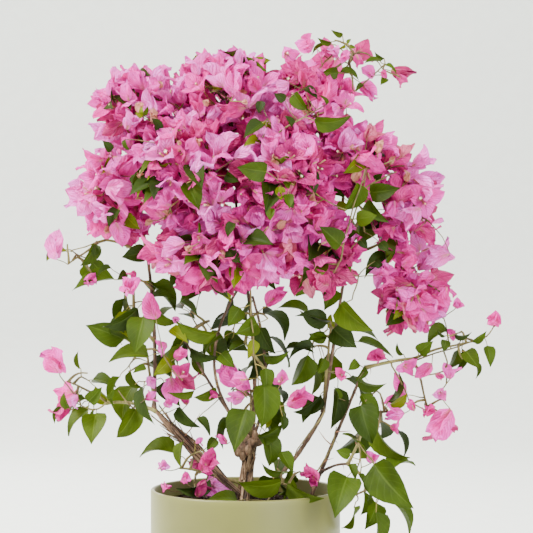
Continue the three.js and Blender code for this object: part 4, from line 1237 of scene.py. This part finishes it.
# What a leaf lacks in length as it is seen, it has toward the front.
for x, y, z, run, rise, width, tone in FRONT_LEAVES:
    foot, seen = np.array((x, y, z), float), math.hypot(run, rise)
    length = max(seen * front_dice.uniform(1.02, 1.12), width / LEAF_WIDTH)
    along = unit((run, -math.sqrt(length ** 2 - seen ** 2), rise))
    facing = unit(FRONT - along * FRONT.dot(along))
    aside = math.acos(min(1.0, width / (LEAF_WIDTH * length))) * front_dice.choice((-1, 1))
    upward = turned(facing, along, 0.8 * aside + front_dice.uniform(-0.2, 0.2))
    name = nearest_mass(foot)
    width = max(1.12 * width, 0.72 * LEAF_WIDTH * length)
    leaf_sites.append((foot, along, upward, length, width, tone, name))
    hang_on(nearest_wood(foot - 0.2 * length * along), foot, foot + along * 0.6)
for x, y, z, breadth, shade in FRONT_FLOWERS:
    heart = np.array((x, y, z), float)
    opening = 0.62 * front_dice.random()
    scale = max(0.3, breadth / (FLOWER_LENGTH + 18 * opening))
    facing = unit(0.6 * FRONT + scatter(front_dice, 1.0) + (0, 0, 0.1))
    foot = heart - facing * 10 * scale
    hang_on(nearest_wood(foot - facing * 6), foot, foot)
    turn = front_dice.uniform(0, 2 * math.pi)
    blooms.append((foot, facing, turn, scale, opening, shade, nearest_mass(heart)))

for x, y, z, breadth, shade, turn, front, opening in CROWN_FLOWERS:
    heart = np.array((x, y, z), float)
    scale = breadth / (FLOWER_LENGTH + 14 * opening)
    level = math.radians(turn)
    facing = unit(math.sqrt(1 - front ** 2) * np.array((math.cos(level), 0, math.sin(level))) + front * FRONT
                  + scatter(front_dice, 0.2))
    foot = heart - facing * 12 * scale
    hang_on(nearest_wood(foot - facing * 6), foot, foot)
    blooms.append((foot, facing, front_dice.uniform(0, 2 * math.pi), scale, 0.999 * opening, shade,
                   nearest_mass(heart)))

# The twigs: thin round shoots, mottled from brown to green.
# Flower and leaf stalks are finer still, and green.
twig_heap, thread_heap = Heap(), Heap()
for index, (curve, thick, sides) in enumerate(twigs):
    points, radii = taper(curve, thick, 6.0 if sides > 5 else 9.0)
    wobble = np.array([[noise.noise(Vector(p) * 0.05 + Vector((k * 7.0, 0, 0))) for k in range(3)]
                       for p in points])
    wobble[0] = wobble[-1] = 0
    lay_tube(twig_heap, points + 1.6 * wobble, radii, sides, (index * 0.37) % 1)
for start, end, bow in threads:
    points, radii = taper(bowed(start, end, bow, 12), THREAD_THICK, 5.0)
    lay_tube(thread_heap, points, radii, 4)
twig_nodes = list(MASSES)
twig_bark = bark_shader("twig_bark", (0.05, 0.032, 0.012), (0.115, 0.085, 0.024), (0.20, 0.175, 0.05), 600.0)
twig_heap.join("twigs", twig_bark, "shoot", twig_nodes)
stalk_green = bark_shader("stalk_green", (0.10, 0.09, 0.010), (0.18, 0.15, 0.022), (0.28, 0.17, 0.05), 500.0)
thread_heap.join("stalks", stalk_green, "shoot", twig_nodes)

# The bracts: three papery leaves round each flower, broad with a drawn-out tip, folded along the midrib and
# waved at the edge. They are thin enough for light to come through, in several pinks from spray to spray.
BRACT_ROWS = 8
BRACT_COLUMNS = 7
BRACT_LENGTH = 29.5
BRACT_WIDTH = 23.5
WIDTH_PLACES = (0, 0.07, 0.2, 0.38, 0.55, 0.72, 0.86, 0.95, 1)
WIDTH_SHARES = (0.13, 0.48, 0.82, 1.0, 0.95, 0.73, 0.42, 0.18, 0.01)
BLOOM_KINDS = 22
CRUMPLE = 5.2
BRACT_FACES = grid_faces(BRACT_ROWS, BRACT_COLUMNS)


def bract(dice, lean, curl, cup):
    """One bract as a grid that opens toward +X from the axis +Z, with its inner face to the axis."""
    along = np.linspace(0, 1, BRACT_ROWS)
    across = np.linspace(-1, 1, BRACT_COLUMNS)
    angle = lean + curl * along ** 1.3 + dice.uniform(-1.6, 2.6) * np.maximum(0, along - 0.62)
    length = BRACT_LENGTH * dice.uniform(0.9, 1.08)
    step = length / (BRACT_ROWS - 1)
    x = np.concatenate([[0], np.cumsum(np.sin(angle[1:]) * step)]) + 1.2
    z = np.concatenate([[0], np.cumsum(np.cos(angle[1:]) * step)])
    half = 0.5 * BRACT_WIDTH * dice.uniform(0.9, 1.1) * np.interp(along, WIDTH_PLACES, WIDTH_SHARES)
    bend = cup / (0.5 * BRACT_WIDTH)
    halves = np.where(across < 0, dice.uniform(0.8, 1.08), dice.uniform(0.8, 1.08))
    side = across[None] * halves[None] * half[:, None]
    y = np.sin(side * bend) / bend + (dice.uniform(-0.16, 0.16) * length * along ** 2)[:, None]
    lift = (1 - np.cos(side * bend)) / bend + 0.8 * np.abs(across[None]) * (1 - along[:, None])
    phases = np.where(across > 0, dice.uniform(0, 6), dice.uniform(0, 6))
    lift = lift + dice.uniform(0.8, 1.9) * across[None] ** 2 * np.sin(
        2 * np.pi * 1.6 * along[:, None] + phases[None]) * np.minimum(1, 3 * along[:, None])
    patch = dice.uniform(0, 90)
    lift += CRUMPLE * np.minimum(1, 2.5 * along[:, None]) * np.array(
        [[noise.noise(Vector((2.9 * a, 1.9 * c, patch))) for c in across] for a in along])
    inward = np.stack([-np.cos(angle), np.zeros_like(angle), np.sin(angle)], axis=1)
    middle = np.stack([x, np.zeros_like(x), z], axis=1)
    points = middle[:, None] + inward[:, None] * lift[..., None]
    points[..., 1] += y
    marks = np.stack([np.broadcast_to(across[None], lift.shape), np.broadcast_to(along[:, None], lift.shape),
                      np.zeros_like(lift)], axis=-1)
    return points.reshape(-1, 3), marks.reshape(-1, 3)


def about_z(points, turn):
    c, s = math.cos(turn), math.sin(turn)
    return points @ np.array([(c, s, 0), (-s, c, 0), (0, 0, 1)])


bract_dice = random.Random(77)
bloom_kinds = []
for kind in range(BLOOM_KINDS):
    openness = -0.15 + 1.6 * (kind / (BLOOM_KINDS - 1)) ** 1.4
    bracts = []
    for k in range(3):
        lean = 0.10 + 0.55 * openness + bract_dice.uniform(-0.16, 0.16)
        curl = 0.22 + 0.42 * openness + bract_dice.uniform(-0.45, 0.4)
        cup = max(0.3, 0.95 - 0.45 * openness + bract_dice.uniform(-0.12, 0.2))
        points, marks = bract(bract_dice, lean, curl, cup)
        bracts.append((about_z(points, 2 * math.pi * k / 3 + bract_dice.uniform(-0.16, 0.16)), marks, lean))
    bloom_kinds.append(bracts)


def stand(axis, spin):
    """Three rows that carry a shape from +Z to the axis, spun about it."""
    side = turned(unit(np.cross((0.3, 0.2, 1), axis)), axis, spin)
    return np.array([side, np.cross(axis, side), axis])


BRACT_SHADES = {
    "bracts_pale": ((1.0, 0.18, 0.695), 0.23),
    "bracts_rose": ((0.98, 0.076, 0.57), 0.33),
    "bracts_pink": ((0.93, 0.036, 0.45), 0.26),
    "bracts_deep": ((0.69, 0.021, 0.29), 0.13),
    "bracts_magenta": ((0.48, 0.012, 0.16), 0.05),
    "bracts_faded": ((0.76, 0.17, 0.30), 0.0),
    "bracts_young": ((0.74, 0.36, 0.24), 0.0),
}
# Some sprays are deeper than others.
SPRAY_TONE = {"crown_left": -0.12, "crown_left_top": -0.08, "crown_left_front": -0.02,
              "crown_middle_front": 0.16,
              "crown_low_front": 0.06, "crown_low_right": 0.2, "crown_top_right": 0.1, "crown_right": -0.04,
              "crown_right_shoulder": 0.04, "crown_right_hanging": 0.02}
bract_heaps = {shade: Heap() for shade in BRACT_SHADES}
bract_nodes = {shade: set() for shade in BRACT_SHADES}
shade_dice = random.Random(31)
for foot, axis, spin, scale, chance, given, name in blooms:
    # Painted light: flowers that face up draw paler shades and those that face down deeper ones, as if lit
    # from above.
    draw = shade_dice.random() - 0.14 * (axis[2] - 0.3) + SPRAY_TONE.get(name, 0)
    # Flowers of the inner layer draw much deeper shades: painted shade of the crown's inside.
    draw += 0.45 if given == "inner" else 0
    draw = min(0.999, max(0.0, draw))
    for shade, (colour, share) in BRACT_SHADES.items():
        if draw < share:
            break
        draw -= share
    if given not in (None, "inner"):
        shade = list(BRACT_SHADES)[given]
    elif given is None and shade_dice.random() < 0.04:
        shade = "bracts_faded"
    place = stand(axis, spin) * scale
    for points, marks, lean in bloom_kinds[int(chance * BLOOM_KINDS)]:
        marks = marks.copy()
        marks[:, 2] = shade_dice.random()
        bract_heaps[shade].lay(points @ place + foot, BRACT_FACES, marks)
    bract_nodes[shade].add(name)


def bract_shader(name, colour):
    material, tree, shading = new_shader(name)
    parts = add_node(tree, "SeparateXYZ", {0: add_node(tree, "Attribute", attribute_name="blade").outputs[1]})
    across = add_node(tree, "Math", {0: parts.outputs["X"]}, operation="ABSOLUTE").outputs[0]
    warp = add_node(tree, "TexNoise", {"Vector": own_place(tree), "Scale": 170.0, "Detail": 2.0})
    slant = add_node(tree, "Math", {0: across, 1: -0.55, 2: parts.outputs["Y"]}, operation="MULTIPLY_ADD")
    bent = add_node(tree, "Math", {0: warp.outputs["Fac"], 1: 0.22, 2: slant.outputs[0]},
                    operation="MULTIPLY_ADD")
    wave = add_node(tree, "Math", {0: add_node(tree, "Math", {0: bent.outputs[0], 1: 44.0},
                                               operation="MULTIPLY").outputs[0]}, operation="SINE")
    veins = add_node(tree, "MapRange", {"Value": wave.outputs[0], "From Min": 0.35, "From Max": 1.0})
    rib = add_node(tree, "MapRange", {"Value": across, "From Min": 0.0, "From Max": 0.10,
                                      "To Min": 1.0, "To Max": 0.0})
    net = add_node(tree, "Math", {0: veins.outputs[0], 1: rib.outputs[0]}, operation="MAXIMUM")
    pale = [min(1, c * 1.18 + 0.05) for c in colour]
    deep = [c * k for c, k in zip(colour, (0.80, 0.50, 0.66))]
    mottle = add_node(tree, "TexNoise", {"Vector": own_place(tree), "Scale": 90.0, "Detail": 5.0})
    mixed = add_node(tree, "Math", {0: parts.outputs["Z"], 1: 0.35, 2: mottle.outputs["Fac"]},
                     operation="MULTIPLY_ADD")
    tone = add_ramp(tree, mixed.outputs[0], [(0.38, deep), (0.60, colour), (0.90, pale)])
    veined = add_node(tree, "Mix", {0: add_node(tree, "Math", {0: net.outputs[0], 1: 0.6},
                                                operation="MULTIPLY").outputs[0], 6: tone, 7: (*deep, 1)},
                      data_type="RGBA")
    base = add_node(tree, "MapRange", {"Value": parts.outputs["Y"], "From Min": 0.0, "From Max": 0.42,
                                       "To Min": 1.0, "To Max": 0.0})
    near = add_node(tree, "MapRange", {"Value": across, "From Min": 0.0, "From Max": 0.55,
                                       "To Min": 1.0, "To Max": 0.0})
    heart = add_node(tree, "Math", {0: base.outputs[0], 1: near.outputs[0]}, operation="MULTIPLY")
    soft = add_node(tree, "Math", {0: heart.outputs[0], 1: 0.7}, operation="MULTIPLY")
    skin = add_node(tree, "Mix", {0: soft.outputs[0], 6: veined.outputs[2], 7: (0.74, 0.56, 0.22, 1)},
                    data_type="RGBA")
    tree.links.new(skin.outputs[2], shading.inputs["Base Color"])
    shading.inputs["Roughness"].default_value = 0.55
    shading.inputs["Specular IOR Level"].default_value = 0.2
    shading.inputs["Sheen Weight"].default_value = 0.05
    crinkle = add_node(tree, "TexNoise", {"Vector": own_place(tree), "Scale": 260.0, "Detail": 3.0})
    relief = add_node(tree, "Math", {0: crinkle.outputs["Fac"], 1: 1.6, 2: net.outputs[0]},
                      operation="MULTIPLY_ADD")
    add_bump(tree, shading, relief.outputs[0], 0.9, 0.0014)
    through = add_node(tree, "BsdfTranslucent", {"Color": skin.outputs[2]})
    both = add_node(tree, "MixShader", {0: 0.40, 1: shading.outputs[0], 2: through.outputs[0]})
    tree.links.new(both.outputs[0], tree.nodes["Material Output"].inputs["Surface"])
    return material


for shade, (colour, share) in BRACT_SHADES.items():
    paper = bract_shader("papery_" + shade, colour)
    bract_heaps[shade].join(shade, paper, "bracts", sorted(bract_nodes[shade]))

# The true flowers: a slim tube against most bracts' midribs, greenish pink, some opening in a small cream
# star.
tube_heap, star_heap = Heap(), Heap()
flower_dice = random.Random(41)
STAR_POINTS = 5
STAR_FACES = faces_of([(k, (k + 1) % (2 * STAR_POINTS), 2 * STAR_POINTS) for k in range(2 * STAR_POINTS)])
for foot, axis, spin, scale, chance, given, name in blooms:
    place = stand(axis, spin)
    for k, (points, marks, lean) in enumerate(bloom_kinds[int(chance * BLOOM_KINDS)]):
        if flower_dice.random() < 0.25:
            continue
        turn = 2 * math.pi * k / 3
        length = flower_dice.uniform(9, 14) * scale
        out = np.array((math.cos(turn), math.sin(turn), 0))
        line = np.array([out * (1.0 + math.sin(lean * 0.55) * length * s) + (0, 0, length * s * 0.93)
                         for s in (0, 0.3, 0.6, 0.85, 1.0)]) @ place + foot
        lay_tube(tube_heap, line, np.array([0.45, 0.75, 0.95, 0.75, 1.0]) * scale, 5)
        if flower_dice.random() < 0.25:
            heading = unit(line[-1] - line[-2])
            face = stand(heading, flower_dice.uniform(0, 6))
            corners = [((2.2 if i % 2 == 0 else 1.0) * math.cos(math.pi * i / STAR_POINTS),
                        (2.2 if i % 2 == 0 else 1.0) * math.sin(math.pi * i / STAR_POINTS), 0.9)
                       for i in range(2 * STAR_POINTS)] + [(0, 0, 0.1)]
            star_heap.lay(np.array(corners) * scale @ face + line[-1], STAR_FACES)
tube_heap.join("flower_tubes", bark_shader("flower_tube", (0.42, 0.16, 0.14), (0.55, 0.36, 0.16),
                                           (0.60, 0.52, 0.22), 500.0), "bracts", twig_nodes)
star_heap.join("flower_stars", bark_shader("cream_star", (0.70, 0.58, 0.28), (0.84, 0.76, 0.48),
                                           (0.90, 0.86, 0.66), 500.0), "bracts", twig_nodes)

# The leaves: heart-based ovals with a drawn-out tip, mid green, a little folded along a pale midrib and
# arched down, on short stalks. Old ones inside are dark, and the crown's leaves get the dark tone most,
# partly as painted shade of its inside. Young ones at the ends of shoots are small and yellow-green.
LEAF_ROWS = 9
LEAF_COLUMNS = 7
LEAF_PLACES = (0, 0.04, 0.12, 0.26, 0.42, 0.6, 0.76, 0.88, 0.95, 1)
LEAF_SHARES = (0.06, 0.45, 0.80, 1.0, 0.98, 0.78, 0.47, 0.20, 0.08, 0.01)
LEAF_FACES = grid_faces(LEAF_ROWS, LEAF_COLUMNS)
LEAF_KINDS = 9


def leaf_kind(dice):
    along = np.linspace(0, 1, LEAF_ROWS)
    across = np.linspace(-1, 1, LEAF_COLUMNS)
    arch = dice.uniform(0.4, 1.4)
    angle = 0.25 - arch * along
    x = np.concatenate([[0], np.cumsum(np.cos(angle[1:]))]) / (LEAF_ROWS - 1)
    z = np.concatenate([[0], np.cumsum(np.sin(angle[1:]))]) / (LEAF_ROWS - 1)
    half = 0.5 * dice.uniform(0.94, 1.06) * np.interp(along, LEAF_PLACES, LEAF_SHARES)
    fold = dice.uniform(0.2, 0.6)
    side = across[None] * half[:, None]
    lift = np.abs(side) * math.sin(fold) + dice.uniform(0.012, 0.034) * across[None] ** 2 * np.sin(
        8 * along[:, None] + np.where(across > 0, dice.uniform(0, 6), dice.uniform(0, 6))[None])
    upward = np.stack([-np.sin(angle), np.zeros_like(angle), np.cos(angle)], axis=1)
    points = np.stack([x, np.zeros_like(x), z], axis=1)[:, None] + upward[:, None] * lift[..., None]
    points[..., 1] += side * math.cos(fold)
    points[..., 1] += (dice.uniform(-0.12, 0.12) * along ** 2)[:, None]
    marks = np.stack([np.broadcast_to(across[None], lift.shape), np.broadcast_to(along[:, None], lift.shape),
                      np.zeros_like(lift)], axis=-1)
    return points.reshape(-1, 3), marks.reshape(-1, 3)


leaf_dice = random.Random(9)
leaf_kinds = [leaf_kind(leaf_dice) for kind in range(LEAF_KINDS)]
LEAF_SHADES = {
    "leaves_dark": (0.016, 0.030, 0.001),
    "leaves_green": (0.031, 0.054, 0.001),
    "leaves_bright": (0.042, 0.066, 0.001),
    "leaves_young": (0.105, 0.13, 0.002),
}
leaf_heaps = {shade: Heap() for shade in LEAF_SHADES}
leaf_nodes = {shade: set() for shade in LEAF_SHADES}
for index, (stalk, along, upward, length, width, tone, name) in enumerate(leaf_sites):
    points, marks = leaf_kinds[index % LEAF_KINDS]
    side = unit(np.cross(upward, along))
    place = np.array([along, side, np.cross(along, side)])
    marks = marks.copy()
    marks[:, 2] = (index * 0.37) % 1
    shade = list(LEAF_SHADES)[tone]
    leaf_heaps[shade].lay(points * (length, width, length) @ place + stalk, LEAF_FACES, marks)
    leaf_nodes[shade].add(name)


def leaf_shader(name, colour):
    material, tree, shading = new_shader(name)
    parts = add_node(tree, "SeparateXYZ", {0: add_node(tree, "Attribute", attribute_name="blade").outputs[1]})
    across = add_node(tree, "Math", {0: parts.outputs["X"]}, operation="ABSOLUTE").outputs[0]
    slant = add_node(tree, "Math", {0: across, 1: -0.35, 2: parts.outputs["Y"]}, operation="MULTIPLY_ADD")
    wave = add_node(tree, "Math", {0: add_node(tree, "Math", {0: slant.outputs[0], 1: 42.0},
                                               operation="MULTIPLY").outputs[0]}, operation="SINE")
    veins = add_node(tree, "MapRange", {"Value": wave.outputs[0], "From Min": 0.8, "From Max": 1.0})
    rib = add_node(tree, "MapRange", {"Value": across, "From Min": 0.03, "From Max": 0.08,
                                      "To Min": 1.0, "To Max": 0.0})
    thin = add_node(tree, "Math", {0: veins.outputs[0], 1: 0.3}, operation="MULTIPLY")
    net = add_node(tree, "Math", {0: thin.outputs[0], 1: rib.outputs[0]}, operation="MAXIMUM")
    deep = [c * 0.62 for c in colour]
    pale = [c * 1.35 for c in colour]
    mottle = add_node(tree, "TexNoise", {"Vector": own_place(tree), "Scale": 45.0, "Detail": 5.0})
    mixed = add_node(tree, "Math", {0: parts.outputs["Z"], 1: 0.4, 2: mottle.outputs["Fac"]},
                     operation="MULTIPLY_ADD")
    tone = add_ramp(tree, mixed.outputs[0], [(0.4, deep), (0.68, colour), (0.95, pale)])
    veined = add_node(tree, "Mix", {0: add_node(tree, "Math", {0: net.outputs[0], 1: 0.3},
                                                operation="MULTIPLY").outputs[0], 6: tone,
                                    7: (*[2.2 * c + 0.03 for c in colour[:2]], 0.02, 1)}, data_type="RGBA")
    tree.links.new(veined.outputs[2], shading.inputs["Base Color"])
    shading.inputs["Roughness"].default_value = 0.55
    shading.inputs["Specular IOR Level"].default_value = 0.12
    add_bump(tree, shading, net.outputs[0], 0.45, 0.0006)
    through = add_node(tree, "BsdfTranslucent", {"Color": veined.outputs[2]})
    both = add_node(tree, "MixShader", {0: 0.22, 1: shading.outputs[0], 2: through.outputs[0]})
    tree.links.new(both.outputs[0], tree.nodes["Material Output"].inputs["Surface"])
    return material


for shade, colour in LEAF_SHADES.items():
    leaf_heaps[shade].join(shade, leaf_shader("leaf_" + shade, colour), "leaves", sorted(leaf_nodes[shade]))
